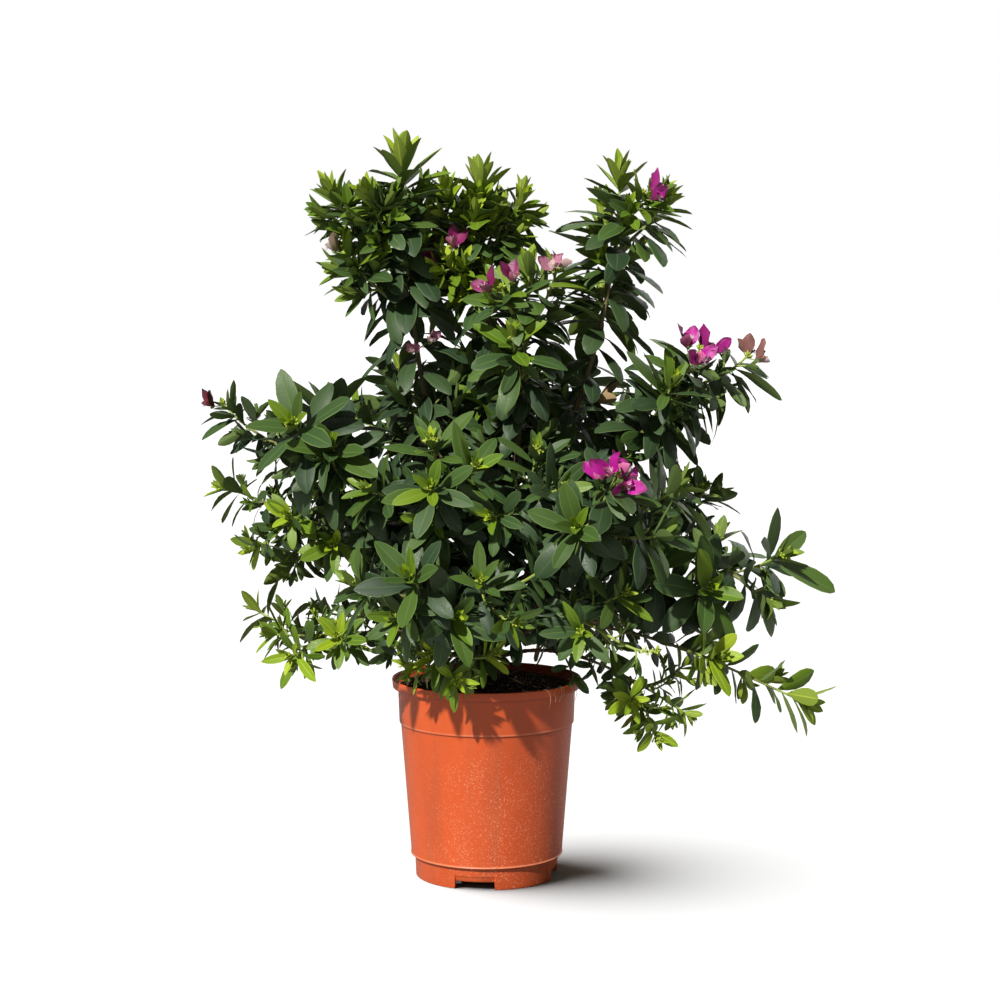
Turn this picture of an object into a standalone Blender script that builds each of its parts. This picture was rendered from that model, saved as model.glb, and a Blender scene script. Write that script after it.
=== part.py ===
"""Potted myrtle-leaf milkwort: a bushy evergreen shrub with magenta flowers, in a nursery pot.

Metres, +Z up. The origin is on the ground under the middle of the pot, and the side that shows
most flowers faces -Y. A short trunk stands on the compost. Boughs leave it, and each one carries
a mass of foliage: a stem that goes on from the bough's tip, with twigs, leaves and flowers
joined to it. Limbs are curves between a foot and a tip, and leaves follow one spiral rule.
"""

import math
import random

import bmesh
import bpy
import numpy as np
from mathutils.bvhtree import BVHTree

# Room left between pieces that touch
CLEARANCE = 0.0003

# Pot: outer sizes, from the ground up
POT_SIDES = 32
POT_HEIGHT = 0.158
RIM_RADIUS = 0.075
RIM_DROP = 0.007
BAND_TOP_RADIUS = 0.0702
BAND_FOOT_RADIUS = 0.0692
BAND_FOOT = 0.123
BODY_TOP_RADIUS = 0.068
BODY_FOOT_RADIUS = 0.060
BODY_FOOT = 0.0174
BEAD = 0.0007
RING_TOP_RADIUS = 0.0573
RING_FOOT_RADIUS = 0.0565
RING_INNER_RADIUS = 0.0545
POT_WALL = 0.0015
FLOOR_HEIGHT = 0.006
PAD_RADIUS = 0.019
PAD_SLOPE = 0.006

# Openings in the pot's foot
NOTCH_COUNT = 4
NOTCH_FIRST = math.radians(260.5)
NOTCH_WIDTH = 0.032
NOTCH_HEIGHT = 0.0105
NOTCH_DEPTH = 0.010
DRAIN_COUNT = 6
DRAIN_CIRCLE = 0.039
DRAIN_RADIUS = 0.004

# Compost
SOIL_EDGE = 0.150
SOIL_TOP = 0.160
SOIL_FLAT_RADIUS = 0.017

# Trunk
TRUNK_SIDES = 12
TRUNK_FOOT = SOIL_TOP + CLEARANCE
TRUNK_TOP = 0.270
TRUNK_RADIUS = 0.0088
TRUNK_TIP_RADIUS = 0.0048
FLARE = 0.0042
FLARE_HEIGHT = 0.006
LEAN = (0.006, 0.004)
LEAN_POWER = 1.5

# Boughs and twigs
BOUGH_SIDES = 5
BOUGH_RINGS = 5
BOUGH_TAPER = 0.62
PATH_STEPS = 60
PATH_PULL = 0.36
TWIG_PULL = 0.35
TWIG_SIDES = 3
TWIG_RADIUS = 0.0017
TWIG_TIP_RADIUS = 0.0013
TWIG_RINGS = 3
STEM_RING_GAP = 0.030
SPRIG_COUNT = 2
SPRIG_LENGTH = 0.040
LIMB_ROOM = 0.0012

# Leaves and flowers: a young one is short and stands along its twig, an old one is long and droops
GOLDEN_ANGLE = math.radians(137.5)
LEAF_THICKNESS = 0.0009
LEAF_WIDTH = (0.36, 0.43)
LEAF_STATIONS = ((0.27, 0.80), (0.66, 1.0))
LEAF_GAP_YOUNG = 0.0098
LEAF_GAP_OLD = 0.0230
LEAF_MARGIN = 0.0004
SPACE_SHARE = 0.75
STEM_BARE = 0.006
TWIG_BARE = 0.012
TWIG_SHARE = 0.92
ROOT_DEPTH = 0.0022
LARGER_THAN_LIFE = 1.36
TRIES = 4
TRY_TURN = math.radians(75)
FLOWER_LENGTH = 0.0185
FLOWER_WIDTH = 0.0150
FLOWER_DEPTH = 0.0065
FLOWER_ARCH = 0.25
FLOWER_GAP = 0.0070

# Colours (linear RGB) and roughness
TERRACOTTA = ((0.52, 0.115, 0.036), 0.55)
COMPOST = ((0.030, 0.019, 0.012), 0.95)
BARK = ((0.105, 0.070, 0.038), 0.80)
LEAF_GREEN = ((0.045, 0.085, 0.022), 0.45)
BLOSSOM = ((0.42, 0.020, 0.30), 0.50)
LEAF_INDEX, BARK_INDEX, BLOSSOM_INDEX = 0, 1, 2

# Each shoot: where its tip is, the slope there in degrees, how far its foot is above the compost,
# the share of it that is a bare bough, its radius at the foot, its longest leaf, the twigs
# (how far along the leafy stem each starts, and its tip), and the flowers on each twig,
# where twig 0 is the stem itself.
SHOOTS = {
    "tall_left": dict(
        tip=(-0.066, 0.020, 0.556), aim=86, foot=0.094, bare=0.44, girth=0.0034, leaf=0.046,
        twigs=((0.42, -0.118, 0.008, 0.535), (0.30, -0.108, -0.010, 0.492), (0.55, -0.088, -0.022, 0.530),
               (0.50, -0.050, 0.055, 0.515)), flowers={1: 1}),
    "tall_middle": dict(
        tip=(-0.005, 0.045, 0.546), aim=85, foot=None, bare=0.50, girth=0.0042, leaf=0.042,
        twigs=((0.50, -0.030, 0.030, 0.540), (0.45, 0.026, 0.055, 0.536), (0.30, -0.032, 0.010, 0.488),
               (0.55, 0.008, 0.082, 0.525)), flowers={3: 2}),
    "middle_front": dict(
        tip=(0.033, -0.045, 0.480), aim=80, foot=0.092, bare=0.46, girth=0.0030, leaf=0.048,
        twigs=((0.55, 0.012, -0.062, 0.466), (0.50, 0.054, -0.030, 0.478), (0.25, 0.020, -0.076, 0.428)),
        flowers={1: 2, 2: 2}),
    "tall_right": dict(
        tip=(0.104, 0.005, 0.548), aim=88, foot=0.100, bare=0.46, girth=0.0032, leaf=0.048,
        twigs=((0.62, 0.137, 0.000, 0.530), (0.68, 0.120, -0.016, 0.538), (0.42, 0.094, 0.034, 0.512)),
        flowers={2: 2}),
    "right_shoulder": dict(
        tip=(0.165, -0.020, 0.418), aim=62, foot=0.080, bare=0.46, girth=0.0028, leaf=0.046,
        twigs=((0.62, 0.204, 0.000, 0.412), (0.30, 0.142, -0.046, 0.392), (0.35, 0.150, 0.022, 0.382)),
        flowers={0: 3, 1: 1}),
    "left_shoulder": dict(
        tip=(-0.148, -0.060, 0.368), aim=55, foot=0.072, bare=0.46, girth=0.0028, leaf=0.050,
        twigs=((0.35, -0.207, 0.008, 0.374), (0.45, -0.115, -0.090, 0.348), (0.50, -0.120, -0.018, 0.372)),
        flowers={1: 1}),
    "mid_left": dict(
        tip=(-0.208, 0.000, 0.310), aim=20, foot=0.052, bare=0.42, girth=0.0022, leaf=0.030,
        twigs=((0.45, -0.154, -0.030, 0.290), (0.50, -0.184, -0.020, 0.262), (0.30, -0.160, 0.030, 0.244),
               (0.20, -0.118, -0.034, 0.268)), flowers={}),
    "low_left": dict(
        tip=(-0.168, -0.050, 0.200), aim=8, foot=0.026, bare=0.40, girth=0.0020, leaf=0.030,
        twigs=((0.40, -0.184, -0.004, 0.214), (0.30, -0.112, -0.086, 0.204), (0.55, -0.150, -0.078, 0.188)),
        flowers={}),
    "front_left": dict(
        tip=(-0.040, -0.108, 0.352), aim=66, foot=0.066, bare=0.46, girth=0.0026, leaf=0.042,
        twigs=((0.50, -0.040, -0.142, 0.322), (0.35, -0.086, -0.108, 0.318), (0.45, -0.008, -0.122, 0.335)),
        flowers={}),
    "front_middle": dict(
        tip=(0.038, -0.092, 0.344), aim=66, foot=0.078, bare=0.46, girth=0.0024, leaf=0.038,
        twigs=((0.45, 0.004, -0.130, 0.300), (0.45, 0.058, -0.108, 0.320)), flowers={}),
    "front_right": dict(
        tip=(0.096, -0.128, 0.322), aim=48, foot=0.058, bare=0.44, girth=0.0026, leaf=0.046,
        twigs=((0.45, 0.142, -0.100, 0.318), (0.45, 0.066, -0.152, 0.294), (0.40, 0.130, -0.124, 0.286)),
        flowers={0: 4}),
    "front_low": dict(
        tip=(-0.055, -0.152, 0.258), aim=35, foot=0.044, bare=0.42, girth=0.0022, leaf=0.044,
        twigs=((0.50, -0.066, -0.140, 0.226), (0.40, -0.097, -0.118, 0.248), (0.35, -0.022, -0.138, 0.226)),
        flowers={}),
    "front_low_middle": dict(
        tip=(-0.004, -0.142, 0.254), aim=32, foot=0.034, bare=0.42, girth=0.0020, leaf=0.032,
        twigs=((0.45, 0.044, -0.132, 0.264), (0.50, 0.022, -0.140, 0.222)), flowers={}),
    "rim_front": dict(
        tip=(-0.042, -0.098, 0.192), aim=12, foot=0.012, bare=0.38, girth=0.0019, leaf=0.027,
        twigs=((0.50, -0.022, -0.110, 0.174), (0.45, 0.008, -0.095, 0.192)), flowers={}),
    "right_arm": dict(
        tip=(0.230, -0.042, 0.256), aim=20, foot=0.046, bare=0.44, girth=0.0024, leaf=0.048,
        twigs=((0.35, 0.170, -0.072, 0.238), (0.45, 0.182, -0.008, 0.270), (0.15, 0.130, -0.072, 0.260)),
        flowers={}),
    "low_right": dict(
        tip=(0.246, -0.060, 0.148), aim=-22, foot=0.030, bare=0.40, girth=0.0022, leaf=0.040,
        twigs=((0.30, 0.162, -0.084, 0.190), (0.40, 0.168, -0.028, 0.206)), flowers={}),
    "low_right_short": dict(
        tip=(0.158, -0.040, 0.134), aim=-32, foot=0.014, bare=0.44, girth=0.0019, leaf=0.026,
        twigs=((0.45, 0.132, -0.062, 0.120), (0.30, 0.112, -0.072, 0.152)), flowers={}),
    "right_mid": dict(
        tip=(0.184, 0.042, 0.302), aim=42, foot=0.062, bare=0.46, girth=0.0022, leaf=0.034,
        twigs=((0.35, 0.192, 0.046, 0.236), (0.40, 0.150, 0.004, 0.314)), flowers={}),
    "front_right_low": dict(
        tip=(0.102, -0.114, 0.240), aim=25, foot=0.022, bare=0.42, girth=0.0020, leaf=0.034,
        twigs=((0.30, 0.126, -0.120, 0.198), (0.45, 0.070, -0.128, 0.214)), flowers={}),
    "back_left_high": dict(
        tip=(-0.072, 0.112, 0.398), aim=68, foot=0.086, bare=0.46, girth=0.0028, leaf=0.042,
        twigs=((0.40, -0.112, 0.090, 0.360), (0.40, -0.040, 0.132, 0.375)), flowers={}),
    "back_middle_high": dict(
        tip=(0.008, 0.140, 0.425), aim=70, foot=0.096, bare=0.46, girth=0.0028, leaf=0.042,
        twigs=((0.40, -0.022, 0.162, 0.390), (0.40, 0.042, 0.120, 0.400)), flowers={0: 1}),
    "back_right_high": dict(
        tip=(0.078, 0.118, 0.398), aim=66, foot=0.084, bare=0.46, girth=0.0028, leaf=0.042,
        twigs=((0.40, 0.117, 0.095, 0.362), (0.40, 0.055, 0.152, 0.365)), flowers={}),
    "back_left": dict(
        tip=(-0.138, 0.118, 0.290), aim=35, foot=0.056, bare=0.42, girth=0.0024, leaf=0.038,
        twigs=((0.40, -0.167, 0.070, 0.275), (0.40, -0.095, 0.152, 0.285)), flowers={}),
    "back_right": dict(
        tip=(0.140, 0.120, 0.285), aim=35, foot=0.050, bare=0.42, girth=0.0024, leaf=0.038,
        twigs=((0.40, 0.172, 0.075, 0.262), (0.40, 0.100, 0.152, 0.280)), flowers={}),
    "back_middle": dict(
        tip=(0.004, 0.188, 0.290), aim=35, foot=0.068, bare=0.42, girth=0.0024, leaf=0.038,
        twigs=((0.40, -0.047, 0.175, 0.270), (0.40, 0.050, 0.175, 0.265)), flowers={}),
    "back_low_left": dict(
        tip=(-0.095, 0.130, 0.196), aim=5, foot=0.028, bare=0.40, girth=0.0020, leaf=0.032,
        twigs=((0.40, -0.142, 0.090, 0.200), (0.40, -0.053, 0.152, 0.200)), flowers={}),
    "back_low_right": dict(
        tip=(0.100, 0.128, 0.190), aim=0, foot=0.020, bare=0.40, girth=0.0020, leaf=0.032,
        twigs=((0.40, 0.147, 0.080, 0.195), (0.40, 0.053, 0.152, 0.190)), flowers={}),
}


# Vectors and curves
def unit(vector):
    vector = np.asarray(vector, float)
    return vector / np.linalg.norm(vector)


def smooth(x):
    """0 below 0, 1 above 1 and an even S between."""
    x = min(max(x, 0.0), 1.0)
    return x * x * (3 - 2 * x)


def rise(azimuth, slope):
    """Unit vector at this azimuth in radians that climbs by this slope in degrees."""
    climb = math.radians(slope)
    return np.array([math.cos(azimuth) * math.cos(climb), math.sin(azimuth) * math.cos(climb), math.sin(climb)])


def bezier(start, start_pull, end_pull, end):
    """Cubic curve as PATH_STEPS points."""
    t = np.linspace(0, 1, PATH_STEPS)[:, None]
    return start * (1 - t) ** 3 + 3 * start_pull * t * (1 - t) ** 2 + 3 * end_pull * t * t * (1 - t) + end * t ** 3


class Path:
    """A curve measured along its length."""

    def __init__(self, points):
        self.points = np.asarray(points)
        steps = np.linalg.norm(np.diff(self.points, axis=0), axis=1)
        self.run = np.concatenate([[0], np.cumsum(steps)])
        self.length = self.run[-1]

    def at(self, distance):
        return np.array([np.interp(distance, self.run, self.points[:, axis]) for axis in range(3)])

    def direction(self, distance):
        reach = self.length / PATH_STEPS
        return unit(self.at(min(distance + reach, self.length)) - self.at(max(distance - reach, 0)))

    def part(self, first, last):
        inside = (self.run > first) & (self.run < last)
        return Path(np.vstack([self.at(first), self.points[inside], self.at(last)]))


# Meshes as a list of points and a list of faces
def tube(path, radii, sides, mitre=None):
    """Tapering tube along a path, with flat ends. A mitre is the normal of the plane of its first end."""
    stations = np.linspace(0, path.length, len(radii))
    normal = np.cross(path.direction(0), (0.0, 0.0, 1.0))
    if np.linalg.norm(normal) < 0.1:
        normal = np.array([1.0, 0.0, 0.0])
    points = []
    for index, (station, radius) in enumerate(zip(stations, radii)):
        along = path.direction(station)
        normal = unit(normal - along * (normal @ along))
        across = np.cross(along, normal)
        for side in range(sides):
            angle = 2 * math.pi * side / sides
            offset = radius * (math.cos(angle) * normal + math.sin(angle) * across)
            if index == 0 and mitre is not None:
                offset -= along * (offset @ mitre) / (along @ mitre)
            points.append(path.at(station) + offset)
    faces = [tuple(reversed(range(sides)))]
    for ring in range(len(radii) - 1):
        low = ring * sides
        for side in range(sides):
            turn = (side + 1) % sides
            faces.append((low + side, low + turn, low + sides + turn, low + sides + side))
    last = (len(radii) - 1) * sides
    faces.append(tuple(range(last, last + sides)))
    return points, faces


LEAF_TOP = ((0, 1, 2), (2, 1, 3), (2, 3, 4), (4, 3, 6))
LEAF_UNDERSIDE = ((0, 5, 1), (0, 2, 5), (1, 5, 3), (2, 4, 5), (3, 5, 6), (4, 6, 5))
BLADE_FACES = ((1, 0, 2), (1, 2, 3), (3, 2, 5), (0, 1, 4), (0, 4, 2), (1, 3, 4), (2, 4, 5), (3, 5, 4))


def blade(root, along, up, length, width, arch, thickness, margin=0.0):
    """Arched leaf of seven points: its root, its two edges at two stations, a keel under them, and its tip."""
    across = np.cross(along, up)
    arch = arch if abs(arch) > 0.01 else 0.01

    def spine(share):
        turn = arch * share
        return root + length * (math.sin(turn) * along - (1 - math.cos(turn)) * up) / arch

    points = [root]
    for share, breadth in LEAF_STATIONS:
        half = 0.5 * width * breadth + margin
        points.append(spine(share) + half * across + margin * up)
        points.append(spine(share) - half * across + margin * up)
    points.append(np.mean(points[1:], axis=0) - (thickness + 2 * margin) * up)
    points.append(spine(1.0) + margin * along)
    return points, LEAF_TOP + LEAF_UNDERSIDE


def joined(solids):
    points, faces = [], []
    for more_points, more_faces in solids:
        faces.extend(tuple(index + len(points) for index in face) for face in more_faces)
        points.extend(more_points)
    return points, faces


def tree_of(solid):
    points, faces = solid
    return BVHTree.FromPolygons([tuple(point) for point in points], faces)


# Limbs
def trunk_axis(height):
    share = (height - TRUNK_FOOT) / (TRUNK_TOP - TRUNK_FOOT)
    return np.array([LEAN[0] * share ** LEAN_POWER, LEAN[1] * share ** LEAN_POWER, height])


def trunk_radius(height):
    share = (height - TRUNK_FOOT) / (TRUNK_TOP - TRUNK_FOOT)
    flare = FLARE * math.exp(-(height - TRUNK_FOOT) / FLARE_HEIGHT)
    return TRUNK_RADIUS + (TRUNK_TIP_RADIUS - TRUNK_RADIUS) * share + flare


def bough_path(spec):
    """Whole path of a shoot, and the normal of the trunk's face that it leaves. The leader leaves the top."""
    tip = np.array(spec["tip"])
    if spec["foot"] is None:
        start = trunk_axis(TRUNK_TOP) + np.array([0, 0, CLEARANCE])
        leave = unit(trunk_axis(TRUNK_TOP) - trunk_axis(TRUNK_TOP - 0.01))
        side = np.array([0, 0, 1])
    else:
        height = SOIL_TOP + spec["foot"]
        axis = trunk_axis(height)
        azimuth = math.atan2(tip[1] - axis[1], tip[0] - axis[0])
        side = rise(azimuth, 0)
        start = axis + side * (trunk_radius(height) + CLEARANCE)
        across = math.hypot(tip[0] - start[0], tip[1] - start[1])
        slope = math.degrees(math.atan2(tip[2] - start[2], across))
        leave = rise(azimuth, min(58, max(22, 0.55 * slope + 16)))
    azimuth = math.atan2(tip[1] - start[1], tip[0] - start[0])
    pull = PATH_PULL * np.linalg.norm(tip - start)
    arrive = rise(azimuth, spec["aim"])
    return Path(bezier(start, start + pull * leave, tip - pull * arrive, tip)), side


def twig_path(stem, share, tip):
    """From a point on the stem to a tip, leaving forwards and turning up a little towards its end."""
    distance = share * stem.length
    start = stem.at(distance)
    tip = np.array(tip)
    reach = np.linalg.norm(tip - start)
    straight = (tip - start) / reach
    leave = unit(straight + 0.5 * stem.direction(distance))
    arrive = unit(straight + np.array([0, 0, 0.45]))
    pull = TWIG_PULL * reach
    return Path(bezier(start, start + pull * leave, tip - pull * arrive, tip))


def sprig_paths(stem, rng):
    """Short side twigs, spaced along the stem and turned by the golden angle."""
    turn = rng.uniform(0, 2 * math.pi)
    paths = []
    for index in range(SPRIG_COUNT):
        share = 0.12 + 0.62 * (index + rng.uniform(0.1, 0.9)) / SPRIG_COUNT
        along = stem.direction(share * stem.length)
        normal, across = around(along)
        turn += GOLDEN_ANGLE
        side = math.cos(turn) * normal + math.sin(turn) * across
        reach = SPRIG_LENGTH * (1.15 - 0.5 * share) * rng.uniform(0.8, 1.2)
        tip = stem.at(share * stem.length) + reach * unit(0.7 * along + side + np.array([0, 0, 0.15]))
        paths.append(twig_path(stem, share, tip))
    return paths


def around(along):
    """Two unit vectors square to this one and to each other."""
    upright = abs(along[2]) > 0.9
    normal = unit(np.cross(along, (1.0, 0.0, 0.0) if upright else (0.0, 0.0, 1.0)))
    return normal, np.cross(along, normal)


# Leaves and flowers
def leaf_spot(path, age, turn, leaf, rng):
    """A leaf at this distance below its twig's tip: root, direction, upper side, length, width, arch, thickness."""
    distance = path.length - age
    along = path.direction(distance)
    normal, across = around(along)
    side = math.cos(turn) * normal + math.sin(turn) * across
    spread = math.radians(6 + 56 * smooth(age / 0.014) + 18 * smooth(age / 0.080) + rng.uniform(-8, 8))
    droop = np.array([0, 0, -0.22 * smooth(age / 0.070)])
    out = unit(math.cos(spread) * along + math.sin(spread) * side + droop)
    root = path.at(distance - ROOT_DEPTH)
    light = unit(np.array([0.5 * root[0], 0.5 * root[1], 0]) / (np.linalg.norm(root[:2]) + 0.01) + (0, 0, 1))
    up = 0.8 * unit(along - out * (along @ out) + 1e-6 * normal) + 0.5 * smooth(age / 0.020) * light
    up = unit(up - out * (up @ out))
    grown = (0.50 + 0.50 * smooth(age / 0.013)) * (1 - 0.18 * smooth(age / 0.150))
    length = leaf * grown * rng.uniform(0.84, 1.08)
    width = length * rng.uniform(*LEAF_WIDTH)
    arch = math.radians(8 + 40 * smooth(age / 0.050) + rng.uniform(-14, 14))
    return root, out, up, length, width, arch, LEAF_THICKNESS


def leaf_tries(path, leaf, rng, bare):
    """For each place down a twig, a few leaves at other turns: the first that fits is kept."""
    turn = rng.uniform(0, 2 * math.pi)
    age = 0.0
    while age < path.length - bare:
        yield [leaf_spot(path, age, turn + attempt * TRY_TURN, leaf, rng) for attempt in range(TRIES)]
        age += LEAF_GAP_YOUNG + (LEAF_GAP_OLD - LEAF_GAP_YOUNG) * smooth(age / 0.024)
        turn += GOLDEN_ANGLE


def flower_spots(path, count, rng):
    """Flowers down a twig from its tip. Each is a broad blade as deep as a folded pair of wings."""
    spots = []
    turn = rng.uniform(0, 2 * math.pi)
    for index in range(count):
        distance = path.length - FLOWER_GAP * (index + 0.6)
        along = path.direction(distance)
        normal, across = around(along)
        turn += GOLDEN_ANGLE
        side = math.cos(turn) * normal + math.sin(turn) * across
        out = unit(0.9 * along + side + np.array([0, 0, 0.2]))
        up = unit(along - out * (along @ out) + 1e-6 * normal)
        root = path.at(distance - ROOT_DEPTH)
        spots.append((root, out, up, FLOWER_LENGTH, FLOWER_WIDTH, FLOWER_ARCH, FLOWER_DEPTH))
    return spots


# Scene, materials and objects
def clear_scene():
    for old in list(bpy.data.objects):
        bpy.data.objects.remove(old, do_unlink=True)


def material(name, finish):
    colour, roughness = finish
    made = bpy.data.materials.new(name)
    made.use_nodes = True
    shader = made.node_tree.nodes["Principled BSDF"]
    shader.inputs["Base Color"].default_value = (*colour, 1)
    shader.inputs["Roughness"].default_value = roughness
    made.diffuse_color = (*colour, 1)
    return made


def mesh_object(name, solid, materials, index=0, collection=None):
    points, faces = solid
    mesh = bpy.data.meshes.new(name)
    mesh.from_pydata([tuple(point) for point in points], [], [tuple(face) for face in faces])
    for entry in materials:
        mesh.materials.append(entry)
    mesh.polygons.foreach_set("material_index", [index] * len(mesh.polygons))
    made = bpy.data.objects.new(name, mesh)
    (collection or bpy.context.scene.collection).objects.link(made)
    return made


def turned(name, profile, sides, finish):
    """A profile of (radius, height) points, from the axis over the top and down the outside to the axis."""
    points = [(radius, 0, height) for radius, height in profile]
    mesh = bpy.data.meshes.new(name)
    mesh.from_pydata(points, [(index, index + 1) for index in range(len(points) - 1)], [])
    mesh.materials.append(finish)
    made = bpy.data.objects.new(name, mesh)
    bpy.context.scene.collection.objects.link(made)
    screw = made.modifiers.new("Turn", "SCREW")
    screw.steps = sides
    screw.render_steps = sides
    screw.use_merge_vertices = True
    screw.merge_threshold = 1e-5
    screw.use_smooth_shade = True
    return made


# Pot and compost
def pot_wall_inside():
    """Inner face of the pot's wall from its floor to its lip."""
    floor = FLOOR_HEIGHT + POT_WALL
    return [
        (RING_INNER_RADIUS - POT_WALL / 2, floor),
        (RING_TOP_RADIUS - POT_WALL, BODY_FOOT - POT_WALL),
        (BODY_FOOT_RADIUS - POT_WALL, BODY_FOOT + POT_WALL),
        (BODY_TOP_RADIUS - POT_WALL, BAND_FOOT - POT_WALL),
        (BAND_FOOT_RADIUS - POT_WALL, BAND_FOOT + POT_WALL),
        (BAND_TOP_RADIUS - POT_WALL, POT_HEIGHT - RIM_DROP + POT_WALL),
        (RIM_RADIUS - POT_WALL, POT_HEIGHT - RIM_DROP + POT_WALL),
        (RIM_RADIUS - POT_WALL, POT_HEIGHT),
    ]


def pot_profile():
    pad_top = POT_WALL
    inside = [(0, pad_top), (PAD_RADIUS, pad_top), (PAD_RADIUS + PAD_SLOPE, FLOOR_HEIGHT + POT_WALL)]
    outside = [
        (RIM_RADIUS, POT_HEIGHT),
        (RIM_RADIUS, POT_HEIGHT - RIM_DROP),
        (BAND_TOP_RADIUS, POT_HEIGHT - RIM_DROP),
        (BAND_FOOT_RADIUS, BAND_FOOT),
        (BODY_TOP_RADIUS, BAND_FOOT - BEAD),
        (BODY_FOOT_RADIUS, BODY_FOOT + 2 * BEAD),
        (BODY_FOOT_RADIUS + BEAD, BODY_FOOT + BEAD),
        (BODY_FOOT_RADIUS, BODY_FOOT),
        (RING_TOP_RADIUS, BODY_FOOT),
        (RING_FOOT_RADIUS, 0),
        (RING_INNER_RADIUS, 0),
        (RING_INNER_RADIUS, FLOOR_HEIGHT),
        (PAD_RADIUS + PAD_SLOPE, FLOOR_HEIGHT),
        (PAD_RADIUS, 0),
        (0, 0),
    ]
    return inside + pot_wall_inside() + outside


def pot_cutters():
    """Notches through the foot ring and drain holes through the floor."""
    cutters = bpy.data.collections.new("pot cutters")
    bpy.context.scene.collection.children.link(cutters)
    half = NOTCH_WIDTH / 2
    for index in range(NOTCH_COUNT):
        azimuth = NOTCH_FIRST + 2 * math.pi * index / NOTCH_COUNT
        low = RING_FOOT_RADIUS * math.cos(half / RING_FOOT_RADIUS) - NOTCH_DEPTH / 2
        cutter_mesh = bmesh.new()
        bmesh.ops.create_cube(cutter_mesh, size=1)
        for vertex in cutter_mesh.verts:
            vertex.co.x = low + NOTCH_DEPTH * (vertex.co.x + 0.5)
            vertex.co.y *= NOTCH_WIDTH
            vertex.co.z *= 2 * NOTCH_HEIGHT
        add_cutter(cutters, f"notch_{index}", cutter_mesh, (0, 0, 0), azimuth)
    for index in range(DRAIN_COUNT):
        azimuth = NOTCH_FIRST + 2 * math.pi * (index + 0.5) / DRAIN_COUNT
        cutter_mesh = bmesh.new()
        bmesh.ops.create_cone(
            cutter_mesh, cap_ends=True, segments=8, radius1=DRAIN_RADIUS, radius2=DRAIN_RADIUS,
            depth=2 * FLOOR_HEIGHT)
        place = (DRAIN_CIRCLE * math.cos(azimuth), DRAIN_CIRCLE * math.sin(azimuth), FLOOR_HEIGHT)
        add_cutter(cutters, f"drain_{index}", cutter_mesh, place, azimuth)
    return cutters


def add_cutter(collection, name, cutter_mesh, place, azimuth):
    mesh = bpy.data.meshes.new(name)
    cutter_mesh.to_mesh(mesh)
    cutter_mesh.free()
    cutter = bpy.data.objects.new(name, mesh)
    cutter.location = place
    cutter.rotation_euler.z = azimuth
    cutter.hide_render = True
    cutter.display_type = "WIRE"
    collection.objects.link(cutter)


def make_pot(finish):
    pot = turned("pot", pot_profile(), POT_SIDES, finish)
    cut = pot.modifiers.new("Foot openings", "BOOLEAN")
    cut.operation = "DIFFERENCE"
    cut.solver = "EXACT"
    cut.operand_type = "COLLECTION"
    cut.collection = pot_cutters()
    return pot


def make_soil(finish):
    """Compost that fills the pot, a little mounded, with a flat spot for the trunk."""
    pad = PAD_RADIUS - CLEARANCE
    floor = FLOOR_HEIGHT + POT_WALL + CLEARANCE
    wall = [(radius - CLEARANCE, height) for radius, height in pot_wall_inside()[1:6]]
    edge_radius = BAND_TOP_RADIUS - POT_WALL - 2 * CLEARANCE
    top = [(0, SOIL_TOP), (SOIL_FLAT_RADIUS, SOIL_TOP), (0.7 * edge_radius, SOIL_TOP - 0.003)]
    bottom = [
        (RING_INNER_RADIUS - POT_WALL, floor),
        (PAD_RADIUS + PAD_SLOPE - CLEARANCE, floor),
        (pad, POT_WALL + CLEARANCE),
        (0, POT_WALL + CLEARANCE),
    ]
    side = [(edge_radius, SOIL_EDGE - 0.002)] + wall[3::-1]
    return turned("soil", top + side + bottom, POT_SIDES, finish)


def make_trunk(finish):
    heights = [TRUNK_FOOT + share * (TRUNK_TOP - TRUNK_FOOT) for share in (0, 0.03, 0.07, 0.14, 0.35, 0.65, 1)]
    points, faces = [], []
    for height in heights:
        radius = trunk_radius(height)
        for side in range(TRUNK_SIDES):
            angle = 2 * math.pi * side / TRUNK_SIDES
            points.append(trunk_axis(height) + radius * np.array([math.cos(angle), math.sin(angle), 0]))
    faces.append(tuple(reversed(range(TRUNK_SIDES))))
    for ring in range(len(heights) - 1):
        low = ring * TRUNK_SIDES
        for side in range(TRUNK_SIDES):
            turn = (side + 1) % TRUNK_SIDES
            faces.append((low + side, low + turn, low + TRUNK_SIDES + turn, low + TRUNK_SIDES + side))
    last = (len(heights) - 1) * TRUNK_SIDES
    faces.append(tuple(range(last, last + TRUNK_SIDES)))
    trunk = mesh_object("trunk", (points, faces), [finish])
    trunk.data.shade_smooth()
    trunk.data.set_sharp_from_angle(angle=math.radians(50))
    return points, faces


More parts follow.
